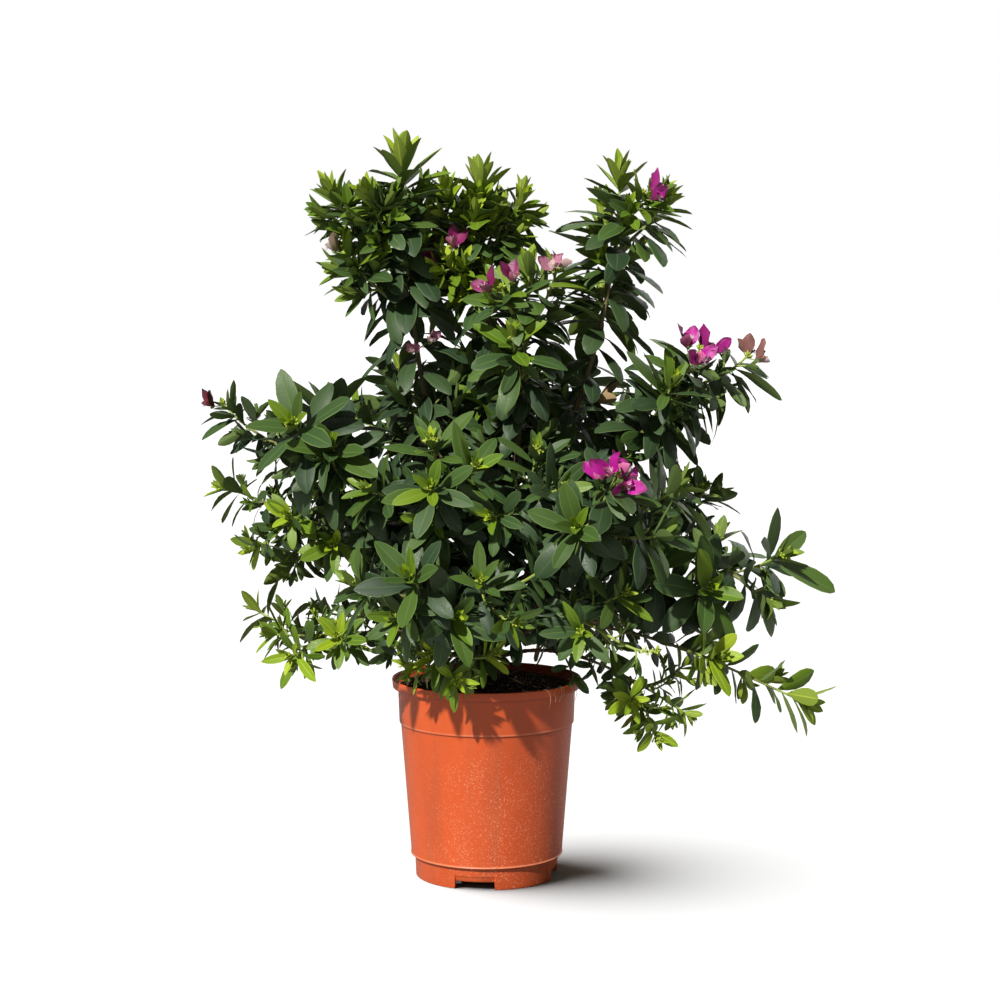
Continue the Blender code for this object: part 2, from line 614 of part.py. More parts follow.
# Foliage
class Shoot:
    """One bough and the limbs of the mass of foliage at its end."""

    def __init__(self, name, spec):
        self.name = name
        self.spec = spec
        self.rng = random.Random(name)
        whole, side = bough_path(spec)
        cut = spec["bare"] * whole.length
        self.bough = whole.part(0, cut - CLEARANCE / 2)
        self.stem = whole.part(cut + CLEARANCE / 2, whole.length)
        girth = spec["girth"]
        self.bough_radii = np.linspace(girth, girth * BOUGH_TAPER, BOUGH_RINGS)
        self.stem_radius = girth * BOUGH_TAPER * 1.1
        self.bough_solid = tube(self.bough, self.bough_radii, BOUGH_SIDES, side)
        self.twigs = []
        self.blades = []
        self.blossom = []

    def stem_solid(self):
        rings = max(3, round(self.stem.length / STEM_RING_GAP) + 1)
        return tube(self.stem, np.linspace(self.stem_radius, TWIG_TIP_RADIUS, rings), TWIG_SIDES)

    def twig_solid(self, path):
        return tube(path, np.linspace(TWIG_RADIUS, TWIG_TIP_RADIUS, TWIG_RINGS), TWIG_SIDES)

    def lines(self):
        return np.vstack([self.stem.points] + [path.points for path in self.twigs])

    def limb_lines(self):
        return np.vstack([self.bough.points, self.lines()])

    def grow_twigs(self, others):
        """Named twigs, then sprigs. One that would touch another shoot's limb is skipped."""
        named = [twig_path(self.stem, share, tip) for share, *tip in self.spec["twigs"]]
        room = 2 * TWIG_RADIUS + LIMB_ROOM
        taken = np.vstack([other.limb_lines() for other in others])
        for index, path in enumerate(named + sprig_paths(self.stem, self.rng)):
            gap = distances(path.points, taken).min()
            own = distances(path.points[PATH_STEPS // 2:], self.lines()).min()
            is_sprig = index >= len(named)
            if gap < room or (is_sprig and own < 3 * room):
                if not is_sprig:
                    print(f"{self.name}: twig {index} left out")
                continue
            self.twigs.append(path)


def distances(first, second):
    """Each point of the first list to its nearest in the second."""
    return np.sqrt(((first[:, None] - second[None]) ** 2).sum(axis=2)).min(axis=1)


def in_pot(points):
    radii = np.hypot(points[:, 0], points[:, 1])
    return bool(((radii < RIM_RADIUS + 0.002) & (points[:, 2] < POT_HEIGHT + 0.003)).any())


def grow_leaves(shoot, others, fixed, finished):
    """Adds each leaf and flower that keeps to its own space and touches nothing."""
    spec = shoot.spec
    own_lines = shoot.lines()
    other_lines = np.vstack([other.limb_lines() for other in others])
    foreign = [fixed] + [tree_of(joined([other.stem_solid()] + [other.twig_solid(path) for path in other.twigs]))
                         for other in others] + finished
    length = spec["leaf"] * LARGER_THAN_LIFE
    trees = []

    def fits(spot, siblings):
        outer = blade(*spot, margin=LEAF_MARGIN)
        points = np.array(outer[0])
        middle = points[1:].mean(axis=0)[None]
        if distances(middle, other_lines)[0] < SPACE_SHARE * distances(middle, own_lines)[0] or in_pot(points):
            return False
        shape = tree_of(outer)
        free = tree_of((outer[0][1:], BLADE_FACES))
        return not (any(shape.overlap(tree) for tree in foreign + trees)
                    or any(free.overlap(tree) for tree in siblings))

    for index, path in enumerate([shoot.stem] + shoot.twigs):
        siblings = [tree_of(shoot.twig_solid(other)) for other in shoot.twigs if other is not path]
        blooms = [[spot] for spot in flower_spots(path, spec["flowers"].get(index, 0), shoot.rng)]
        size, bare = (length, STEM_BARE) if index == 0 else (TWIG_SHARE * length, TWIG_BARE)
        for kept, tries in [(shoot.blossom, blooms), (shoot.blades, leaf_tries(path, size, shoot.rng, bare))]:
            for spots in tries:
                spot = next((spot for spot in spots if fits(spot, siblings)), None)
                if spot is not None:
                    kept.append(blade(*spot))
                    trees.append(tree_of(kept[-1]))


def islands(mesh):
    """Groups of joined faces, each as its faces and its signed volume."""
    left = set(mesh.faces)
    found = []
    while left:
        seed = min(left, key=lambda face: face.index)
        left.discard(seed)
        group, queue = [seed], [seed]
        while queue:
            for edge in queue.pop().edges:
                for face in edge.link_faces:
                    if face in left:
                        left.discard(face)
                        group.append(face)
                        queue.append(face)
        volume = 0.0
        for face in group:
            corners = [vertex.co for vertex in face.verts]
            for index in range(1, len(corners) - 1):
                volume += corners[0].dot(corners[index].cross(corners[index + 1])) / 6
        found.append((volume, group))
    return found


def keep_one_body(mesh_data):
    """Keeps the outer skin: loose scraps are dropped and sealed hollows filled."""
    mesh = bmesh.new()
    mesh.from_mesh(mesh_data)
    mesh.faces.index_update()
    found = sorted(islands(mesh), key=lambda entry: -entry[0])
    for _volume, group in found[1:]:
        bmesh.ops.delete(mesh, geom=group, context="FACES")
    bmesh.ops.triangulate(mesh, faces=mesh.faces[:])
    mesh.to_mesh(mesh_data)
    mesh.free()


def fuse(shoot, materials):
    """One Boolean union of the stem with its twigs, leaves and flowers."""
    name = f"foliage_{shoot.name}"
    pieces = bpy.data.collections.new(f"{name} pieces")
    bpy.context.scene.collection.children.link(pieces)
    solids = [(shoot.twig_solid(path), BARK_INDEX) for path in shoot.twigs]
    solids += [(solid, LEAF_INDEX) for solid in shoot.blades]
    solids += [(solid, BLOSSOM_INDEX) for solid in shoot.blossom]
    for number, (solid, index) in enumerate(solids):
        mesh_object(f"piece_{number}", solid, materials, index, pieces)
    mass = mesh_object(name, shoot.stem_solid(), materials, BARK_INDEX)
    union = mass.modifiers.new("Union", "BOOLEAN")
    union.operation = "UNION"
    union.solver = "EXACT"
    union.operand_type = "COLLECTION"
    union.collection = pieces
    graph = bpy.context.evaluated_depsgraph_get()
    fused = bpy.data.meshes.new_from_object(mass.evaluated_get(graph))
    mass.modifiers.clear()
    mass.data = fused
    for piece in list(pieces.objects):
        bpy.data.objects.remove(piece, do_unlink=True)
    bpy.data.collections.remove(pieces)
    keep_one_body(fused)
    return mass


def main():
    clear_scene()
    bark = material("bark", BARK)
    foliage = [material("leaf", LEAF_GREEN), bark, material("blossom", BLOSSOM)]
    pot = make_pot(material("terracotta plastic", TERRACOTTA))
    soil = make_soil(material("compost", COMPOST))
    trunk_solid = make_trunk(bark)
    shoots = [Shoot(name, spec) for name, spec in SHOOTS.items()]
    for shoot in shoots:
        bough = mesh_object(f"bough_{shoot.name}", shoot.bough_solid, [bark])
        bough.data.shade_smooth()
        bough.data.set_sharp_from_angle(angle=math.radians(50))
        shoot.grow_twigs([other for other in shoots if other is not shoot])
    graph = bpy.context.evaluated_depsgraph_get()
    fixed = [trunk_solid] + [shoot.bough_solid for shoot in shoots]
    for turned_piece in (pot, soil):
        skin = turned_piece.evaluated_get(graph).to_mesh()
        fixed.append(([vertex.co for vertex in skin.vertices], [tuple(face.vertices) for face in skin.polygons]))
    fixed_tree = tree_of(joined(fixed))
    finished = []
    for shoot in shoots:
        grow_leaves(shoot, [other for other in shoots if other is not shoot], fixed_tree, finished)
        finished.append(tree_of(joined(shoot.blades + shoot.blossom)))
        fuse(shoot, foliage)
    print(f"{sum(len(shoot.blades) for shoot in shoots)} leaves, "
          f"{sum(len(shoot.blossom) for shoot in shoots)} flowers, "
          f"{sum(len(shoot.twigs) for shoot in shoots)} twigs")


main()
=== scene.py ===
import itertools
import math
import random
from types import SimpleNamespace

import bpy
import numpy as np
from mathutils.bvhtree import BVHTree
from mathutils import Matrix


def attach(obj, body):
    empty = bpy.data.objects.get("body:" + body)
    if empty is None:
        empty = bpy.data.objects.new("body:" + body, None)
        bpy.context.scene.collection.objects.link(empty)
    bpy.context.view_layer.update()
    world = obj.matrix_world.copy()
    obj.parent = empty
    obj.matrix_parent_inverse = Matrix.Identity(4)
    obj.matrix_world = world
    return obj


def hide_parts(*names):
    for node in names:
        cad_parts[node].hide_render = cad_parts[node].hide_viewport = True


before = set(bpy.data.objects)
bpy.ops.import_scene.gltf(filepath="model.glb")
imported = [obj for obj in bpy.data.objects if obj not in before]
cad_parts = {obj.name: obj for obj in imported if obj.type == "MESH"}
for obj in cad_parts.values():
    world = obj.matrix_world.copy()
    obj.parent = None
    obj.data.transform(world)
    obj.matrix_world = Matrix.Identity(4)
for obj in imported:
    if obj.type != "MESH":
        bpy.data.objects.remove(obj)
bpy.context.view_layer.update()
print("frame loaded:", len(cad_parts), "nodes")


def rgb(red, green, blue):  # a colour as the eye sees it, 0 to 255, worked out as light
    shown = np.array([red, green, blue]) / 255
    return tuple(np.where(shown > 0.04045, ((shown + 0.055) / 1.055) ** 2.4, shown / 12.92))


# node helpers: a value is either linked, when it is a socket, or set
def fill(tree, socket, value):
    if isinstance(value, bpy.types.NodeSocket):
        tree.links.new(value, socket)
    else:
        socket.default_value = (*value[:3], 1) if socket.type == "RGBA" else value


def node(tree, kind, inputs=(), **settings):
    made = tree.nodes.new(kind)
    for name, value in settings.items():
        setattr(made, name, value)
    for name, value in dict(inputs).items():
        fill(tree, made.inputs[name], value)
    return made


def mixed(tree, share, first, second):
    return node(tree, "ShaderNodeMix", {0: share, 6: first, 7: second}, data_type="RGBA").outputs[2]


def reckon(tree, operation, first, second=0.0):
    return node(tree, "ShaderNodeMath", {0: first, 1: second}, operation=operation).outputs[0]


def times(tree, first, second):
    return reckon(tree, "MULTIPLY", first, second)


def spread(tree, value, low, high, first=0.0, last=1.0):  # a value between low and high, mapped and held
    given = {"Value": value, "From Min": low, "From Max": high, "To Min": first, "To Max": last}
    return node(tree, "ShaderNodeMapRange", given, clamp=True).outputs[0]


def place(tree, scale=(1, 1, 1)):  # Object coordinates, stretched
    where = node(tree, "ShaderNodeTexCoord").outputs["Object"]
    return node(tree, "ShaderNodeMapping", {"Vector": where, "Scale": scale}).outputs[0]


def noise(tree, where, scale, detail, roughness=0.5):
    given = {"Vector": where, "Scale": scale, "Detail": detail, "Roughness": roughness}
    return node(tree, "ShaderNodeTexNoise", given).outputs[0]


def group(name, inputs, **outputs):  # colours are tuples, the rest are plain numbers
    tree = bpy.data.node_groups.new(name, "ShaderNodeTree")
    for label, value in inputs.items():
        many = isinstance(value, tuple)
        kind = "NodeSocketColor" if many else "NodeSocketFloat"
        socket = tree.interface.new_socket(label, in_out="INPUT", socket_type=kind)
        socket.default_value = (*value, 1) if many else value
    for label, kind in outputs.items():
        tree.interface.new_socket(label, in_out="OUTPUT", socket_type=kind)
    return tree, node(tree, "NodeGroupInput").outputs, node(tree, "NodeGroupOutput").inputs


def makeGrain():  # fine grain for any skin: noise sets the roughness and stands up a little
    tree, given, out = group("fine grain", dict(Scale=400.0, Smoothest=0.4, Roughest=0.6, Relief=0.0002),
                             Roughness="NodeSocketFloat", Normal="NodeSocketVector")
    grain = noise(tree, place(tree), given["Scale"], 4.0)
    fill(tree, out["Roughness"], spread(tree, grain, 0.35, 0.65, given["Smoothest"], given["Roughest"]))
    bump = node(tree, "ShaderNodeBump", {"Height": grain, "Distance": given["Relief"], "Strength": 0.8})
    fill(tree, out["Normal"], bump.outputs[0])
    return tree


def makeBlotches():  # two tones of one surface in soft blotches
    tree, given, out = group(
        "blotches", {"Tone": (0.5, 0.5, 0.5), "Other tone": (0.4, 0.4, 0.4), "Scale": 20.0, "Stretch": 1.0},
        Color="NodeSocketColor")
    stretch = node(tree, "ShaderNodeCombineXYZ", {"X": 1.0, "Y": 1.0, "Z": given["Stretch"]}).outputs[0]
    share = spread(tree, noise(tree, place(tree, stretch), given["Scale"], 5.0, 0.6), 0.36, 0.64)
    fill(tree, out["Color"], mixed(tree, share, given["Tone"], given["Other tone"]))
    return tree


grainGroup = makeGrain()
blotchGroup = makeBlotches()


def principled(name, grain=None, roughness=0.5, specular=0.5):  # grain holds its group's inputs in order
    made = bpy.data.materials.new(name)
    made.use_nodes = True
    tree = made.node_tree
    inputs = tree.nodes["Principled BSDF"].inputs
    inputs["Roughness"].default_value = roughness
    inputs["Specular IOR Level"].default_value = specular
    if grain:
        for output in node(tree, "ShaderNodeGroup", enumerate(grain), node_tree=grainGroup).outputs:
            fill(tree, inputs[output.name], output)
    return made, tree, inputs["Base Color"]


def blotched(tree, *given):  # given two tones, the scale of their blotches and the stretch of these
    return node(tree, "ShaderNodeGroup", enumerate(given), node_tree=blotchGroup).outputs[0]


def skin(name, colour, grain, specular=0.5):  # in one colour, or with the blotches that it holds
    made, tree, base = principled(name, grain, specular=specular)
    if isinstance(colour[0], tuple):
        fill(tree, base, blotched(tree, *colour))
    else:
        fill(tree, base, colour)
        made.diffuse_color = (*colour, 1)
    return made


def skins(kind, colours, grain, specular=0.5):  # a skin for each named colour, as the eye sees it
    return [skin(f"{kind} {name}", rgb(*colour), grain, specular) for name, colour in dict(colours).items()]


# camera, light and floor, with angles in degrees
camera = dict(place=(0.0106, -1.844, 0.4765), pitch=5.5, lens=84.7, sensor=36)
light = dict(
    sun=dict(turn=29, height=40, strength=5.5, spread=2, colour=(1.0, 0.975, 0.92)),
    back=dict(turn=200, height=24, strength=1.5, spread=70, colour=(1, 1, 1)),
    soft=dict(turn=89, height=53, strength=13.8, spread=62, colour=(1, 1, 1)),
    skyColour=(1.0, 1.0, 0.86), skyStrength=0.185, backdrop=(1, 1, 1),
    floorReach=30, floorColour=rgb(152, 152, 152), floorGlow=rgb(108, 108, 106), floorRoughness=0.9)


def added(name, data):
    made = bpy.data.objects.new(name, data)
    bpy.context.scene.collection.objects.link(made)
    return made


def makeCamera():
    data = bpy.data.cameras.new("camera")
    data.lens, data.sensor_width = camera["lens"], camera["sensor"]
    made = added("camera", data)
    made.location = camera["place"]
    made.rotation_euler = (math.radians(90 - camera["pitch"]), 0, 0)
    bpy.context.scene.camera = made


def makeSun(name, given, lit, shading=None):  # turn goes from behind the camera round by its left
    data = bpy.data.lights.new(name, "SUN")
    data.energy, data.color, data.angle = given["strength"], given["colour"], math.radians(given["spread"])
    sun = added(name, data)
    sun.rotation_euler = (math.radians(90 - given["height"]), 0, math.radians(-given["turn"]))
    sun.light_linking.receiver_collection = lit
    sun.light_linking.blocker_collection = shading


def seenOnly(tree, others, seen, output):  # the camera sees one shader, and the light comes from the other
    rays = node(tree, "ShaderNodeLightPath").outputs["Is Camera Ray"]
    chosen = node(tree, "ShaderNodeMixShader", {0: rays, 1: others, 2: seen})
    fill(tree, output.inputs["Surface"], chosen.outputs[0])


def makeFloor():
    mesh = bpy.data.meshes.new("floor")
    corners = light["floorReach"] * np.array([(-1, -1, 0), (1, -1, 0), (1, 1, 0), (-1, 1, 0)])
    mesh.from_pydata(corners, [], [(0, 1, 2, 3)])
    made, tree, base = principled("floor", None, light["floorRoughness"], 0.0)
    fill(tree, base, light["floorColour"])
    dim = node(tree, "ShaderNodeBsdfDiffuse", {"Color": light["floorGlow"]})
    seenOnly(tree, dim.outputs[0], tree.nodes["Principled BSDF"].outputs[0], tree.nodes["Material Output"])
    mesh.materials.append(made)
    floor = added("floor", mesh)
    return floor


def holding(name, thing):
    made = bpy.data.collections.new(name)
    made.objects.link(thing)
    return made


def makeLight():
    floor = makeFloor()
    allButFloor = holding("all but the floor", floor)
    allButFloor.collection_objects[0].light_linking.link_state = "EXCLUDE"
    onlyPot = holding("only the pot", bpy.data.objects["pot_shell"])
    makeSun("sun", light["sun"], allButFloor)
    makeSun("back light", light["back"], allButFloor)
    makeSun("soft light", light["soft"], holding("only the floor", floor), onlyPot)
    world = bpy.data.worlds.new("sky")
    bpy.context.scene.world = world
    world.use_nodes = True
    tree = world.node_tree
    sky = tree.nodes["Background"]
    fill(tree, sky.inputs["Color"], light["skyColour"])
    fill(tree, sky.inputs["Strength"], light["skyStrength"])
    backdrop = node(tree, "ShaderNodeBackground", {"Color": light["backdrop"]})
    seenOnly(tree, sky.outputs[0], backdrop.outputs[0], tree.nodes["World Output"])


# vectors, rows at a time
skyward = np.array([0, 0, 1])


def unit(vector):
    vector = np.asarray(vector, float)
    return vector / np.linalg.norm(vector, axis=-1, keepdims=True)


def squared(vector, along):  # the part of a vector square to a unit vector, made a unit vector too
    return unit(vector - along * (vector * along).sum(axis=-1, keepdims=True))


def smooth(x):  # 3x^2 - 2x^3, held at 0 and 1 outside
    x = np.clip(x, 0, 1)
    return x * x * (3 - 2 * x)


def rise(azimuth, slope):  # unit vector at an azimuth in radians, climbing by a slope in degrees
    level, climb = math.cos(math.radians(slope)), math.sin(math.radians(slope))
    return np.array([math.cos(azimuth) * level, math.sin(azimuth) * level, climb])


def around(along):  # two unit vectors square to each direction and to each other
    upright = np.abs(along[..., 2:3]) > 0.9
    normal = unit(np.cross(along, np.where(upright, (1.0, 0.0, 0.0), (0.0, 0.0, 1.0))))
    return normal, np.cross(along, normal)


def turned(angle, first, second):  # cos a times the first, plus sin a times the second
    return np.cos(angle) * first + np.sin(angle) * second


def polar(radius, azimuth, height):  # (r cos a, r sin a, z)
    return np.stack(np.broadcast_arrays(radius * np.cos(azimuth), radius * np.sin(azimuth), height), axis=-1)


def circle(sides):
    return np.linspace(0, 2 * math.pi, sides, endpoint=False)


def ripple(points, wavelength, seed, waves=14):  # a sum of sine waves in drawn directions, about -1 to 1
    draw = np.random.default_rng(seed)
    directions = unit(draw.normal(size=(waves, 3))) * 2 * math.pi / wavelength
    directions = directions * draw.uniform(0.6, 1.7, (waves, 1))
    phases = draw.uniform(0, 2 * math.pi, waves)
    return np.sin(points @ directions.T + phases).sum(axis=-1) / math.sqrt(waves)


# A piece is made of parts. Each has its points and its face sets: arrays of point numbers, one for each
# count of corners, with their material slots.
def makePiece(name, parts, materials, replaced=(), crease=55):
    points, faces, slots = [], [], []
    for made, sets in parts:
        for numbers, given in sets:
            faces += (numbers + len(points)).tolist()
            slots += np.broadcast_to(given, len(numbers)).tolist()
        points += made.tolist()
    mesh = bpy.data.meshes.new(name)
    mesh.from_pydata(points, [], faces)
    for made in materials:
        mesh.materials.append(made)
    mesh.polygons.foreach_set("material_index", slots)
    mesh.validate()
    mesh.shade_smooth()
    mesh.set_sharp_from_angle(angle=math.radians(crease))
    piece = added(name, mesh)
    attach(piece, "root")
    if replaced:
        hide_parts(*replaced)
    return piece


def quads(*corners):  # faces from arrays of point numbers, one for each corner
    return np.stack(corners, axis=-1).reshape(-1, 4)


def walls(first, second):  # faces between closed rings of point numbers
    return quads(first, np.roll(first, -1, axis=1), np.roll(second, -1, axis=1), second)


def fan(ring, tip):  # a cap of triangles from a ring to one point
    return np.stack([ring, np.roll(ring, -1), np.full(len(ring), tip)], axis=-1)


def copied(faces, count, step):  # the same faces for each of many equal shapes
    return (faces[None] + (np.arange(count) * step)[:, None, None]).reshape(-1, faces.shape[1])


# Tube round a path: each ring is the path's point plus radius times (cos a, sin a) across it, and
# radius may change along it or, as relief, from point to point. Both ends are closed.
def tube(path, radii, sides, rings, slots=0, relief=None):
    stations = np.linspace(0, path.length, rings)
    along = path.direction(stations)
    normal = unit(np.cross(along, np.eye(3)[np.abs(along.mean(axis=0)).argmin()]))
    out = turned(circle(sides)[None, :, None], normal[:, None], np.cross(along, normal)[:, None])
    points = path.at(stations)[:, None] + np.broadcast_to(radii, rings)[:, None, None] * out
    if relief is not None:
        points = points + relief(points) * out
    number = np.arange(rings * sides).reshape(rings, sides)
    wallSlots = np.repeat(np.broadcast_to(slots, rings)[:-1], sides)
    ends = np.stack([number[0, ::-1], number[-1]])
    return points.reshape(-1, 3), [(walls(number[:-1], number[1:]), wallSlots), (ends, wallSlots[[0, -1]])]


# Beads: eggs with a radius of width / 2 times sqrt(1 - t^2) at t along the axis, -1 to 1, dented at random
def beads(middles, axes, lengths, widths, slots=0, sides=6, rings=5, dent=0.0, seed=1):
    count, size = len(middles), rings * sides
    middles, axes = middles[:, None, None], axes[:, None, None]
    lengths, widths = lengths[:, None, None, None], widths[:, None, None, None]
    share = np.cos(np.linspace(math.pi, 0, rings + 2))[1:-1, None, None]
    girth = np.sqrt(1 - share ** 2) * widths / 2
    girth = girth * (1 + dent * np.random.default_rng(seed).uniform(-1, 1, (count, rings, sides, 1)))
    body = middles + share * lengths / 2 * axes + girth * turned(circle(sides)[:, None], *around(axes))
    ends = middles + np.array([-0.5, 0.5])[:, None] * lengths * axes
    points = np.concatenate([body.reshape(count, -1, 3), ends[:, 0]], axis=1)
    number = np.arange(size).reshape(rings, sides)
    caps = np.concatenate([fan(number[0], size)[:, [1, 0, 2]], fan(number[-1], size + 1)])
    faceSets = [(copied(faces, count, size + 2), np.repeat(np.broadcast_to(slots, count), len(faces)))
                for faces in (walls(number[:-1], number[1:]), caps)]
    return points.reshape(-1, 3), faceSets


# paths of the limbs, as the solids have them
trunk = dict(
    foot=0.1603, top=0.27, radius=0.0088, tipRadius=0.0048, flare=0.0042, flareHeight=0.006,
    lean=(0.006, 0.004), leanPower=1.5, clearance=0.0003, sides=30, rings=110, relief=0.00045, sunk=0.003)
limb = dict(
    steps=60, pull=0.36, twigPull=0.35, taper=0.62, twigRadius=0.0017, tipRadius=0.0008, sprigs=2,
    sprigLength=0.04, room=0.0012, compostTop=0.16, leastSlope=22, mostSlope=58)
goldenAngle = math.radians(137.5)


class Path:  # a curve measured along its length
    def __init__(self, points):
        self.points = np.asarray(points)
        steps = np.linalg.norm(np.diff(self.points, axis=0), axis=1)
        self.run = np.concatenate([[0], np.cumsum(steps)])
        self.length = self.run[-1]

    def at(self, distance):
        return np.stack([np.interp(distance, self.run, self.points[:, axis]) for axis in range(3)], axis=-1)

    def direction(self, distance):
        reach = self.length / limb["steps"]
        ahead = self.at(np.minimum(distance + reach, self.length))
        return unit(ahead - self.at(np.maximum(distance - reach, 0)))

    def part(self, first, last):
        inside = (self.run > first) & (self.run < last)
        return Path(np.vstack([self.at(first), self.points[inside], self.at(last)]))


# cubic curve: start (1-t)^3 + 3 startPull t (1-t)^2 + 3 endPull t^2 (1-t) + end t^3
def bezier(start, startPull, endPull, end):
    t = np.linspace(0, 1, limb["steps"])[:, None]
    return (start * (1 - t) ** 3 + 3 * startPull * t * (1 - t) ** 2
            + 3 * endPull * t * t * (1 - t) + end * t ** 3)


def trunkShare(height):  # 0 at the trunk's foot, 1 at its top
    return (height - trunk["foot"]) / (trunk["top"] - trunk["foot"])


def trunkAxis(height):  # at each height it leans by lean times share^leanPower
    bend = np.clip(trunkShare(height), 0, None) ** trunk["leanPower"]
    return np.stack([trunk["lean"][0] * bend, trunk["lean"][1] * bend, height + 0 * bend], axis=-1)


def trunkRadius(height):  # a straight taper, plus flare times e^(-height / flareHeight)
    flare = trunk["flare"] * np.exp(-(height - trunk["foot"]) / trunk["flareHeight"])
    return trunk["radius"] + (trunk["tipRadius"] - trunk["radius"]) * trunkShare(height) + flare


def heading(start, end):  # the azimuth from one point to another
    return math.atan2(*(end - start)[1::-1])


def boughPath(shoot):  # a cubic curve from the trunk to the shoot's tip, where its slope is aim
    tip = shoot.tip
    if shoot.foot is None:  # the leader goes on from the trunk's top
        top = trunkAxis(np.array(trunk["top"]))
        start = top + trunk["clearance"] * skyward
        leave = unit(top - trunkAxis(np.array(trunk["top"] - 0.01)))
    else:
        height = np.array(limb["compostTop"] + shoot.foot)
        axis = trunkAxis(height)
        azimuth = heading(axis, tip)
        start = axis + rise(azimuth, 0) * (trunkRadius(height) + trunk["clearance"])
        reach = tip - start
        slope = math.degrees(math.atan2(reach[2], math.hypot(*reach[:2])))
        leave = rise(azimuth, min(limb["mostSlope"], max(limb["leastSlope"], 0.55 * slope + 16)))
    pull = limb["pull"] * np.linalg.norm(tip - start)
    arrive = rise(heading(start, tip), shoot.aim)
    return Path(bezier(start, start + pull * leave, tip - pull * arrive, tip))


def twigPath(stem, share, tip):  # leaves forwards and turns up a little towards its end
    distance = share * stem.length
    start = stem.at(distance)
    reach = np.linalg.norm(tip - start)
    straight = (tip - start) / reach
    leave = unit(straight + 0.5 * stem.direction(distance))
    pull = limb["twigPull"] * reach
    return Path(bezier(start, start + pull * leave, tip - pull * unit(straight + 0.45 * skyward), tip))


# Sprigs between two shares of a stem, each a golden angle on from the last and shorter towards the tip
def sprigPaths(stem, draw, count, length, first=0.12, last=0.74):
    turn = draw.uniform(0, 2 * math.pi)
    paths = []
    for index in range(count):
        share = first + (last - first) * (index + draw.uniform(0.1, 0.9)) / count
        along = stem.direction(share * stem.length)
        turn += goldenAngle
        reach = length * (1.15 - 0.5 * share) * draw.uniform(0.8, 1.2)
        out = unit(0.7 * along + turned(turn, *around(along)) + 0.15 * skyward)
        paths.append(twigPath(stem, share, stem.at(share * stem.length) + reach * out))
    return paths


habits = dict(
    tuft=12, least=0.26, slim=1.0, open=1.0, arched=1.0, dense=1.0, bushy=0.1, sprig=0.66, packed=1.0,
    small={}, nod=(0, 0, 0), facing=0.0, leafy=0.0, more=(), buds=(), spent=(), cluster=False, flowers={})


# A shoot, in mm and percent: its tip, the slope there, how far its foot is above the compost, the share of
# it that is bare bough, its radius at the foot in tenths of a mm, its longest leaf, how fresh its leaves are
# (below 1 they look younger) and its twigs, each by how far up the leafy stem it starts and its tip. Then
# what differs from the habits: the length of tip whose leaves still grow, the youngest leaf's share of its
# length, how slim, open and arched leaves are, how dense the fine twigs are, how far up a limb they start
# (bushy) and the size of their leaves (sprig), how closely leaves are packed, twigs with small leaves, the
# stem's nod to the light, how far leaves turn to it (facing), how much of the bough is leafy, more twigs
# that the solids leave out, twigs that end in buds, the places and azimuths of spent flowers, a cluster of
# buds at the tip, and the number and tint of flowers on each twig, where twig 0 is the stem.
def sprout(tip, aim, foot, bare, girth, longest, fresh, twigs, **ways):
    made = SimpleNamespace(**{**habits, **ways}, aim=aim, fresh=fresh, bare=bare / 100, girth=girth / 10000)
    made.foot, made.longest, made.tuft = foot and foot / 1000, longest / 1000, made.tuft / 1000
    made.tip, made.nod = np.array(tip) / 1000, np.array(made.nod) / 1000
    made.twigs, made.more = ([(share / 100, np.array(end) / 1000) for share, *end in rows]
                             for rows in (twigs, made.more))
    return made


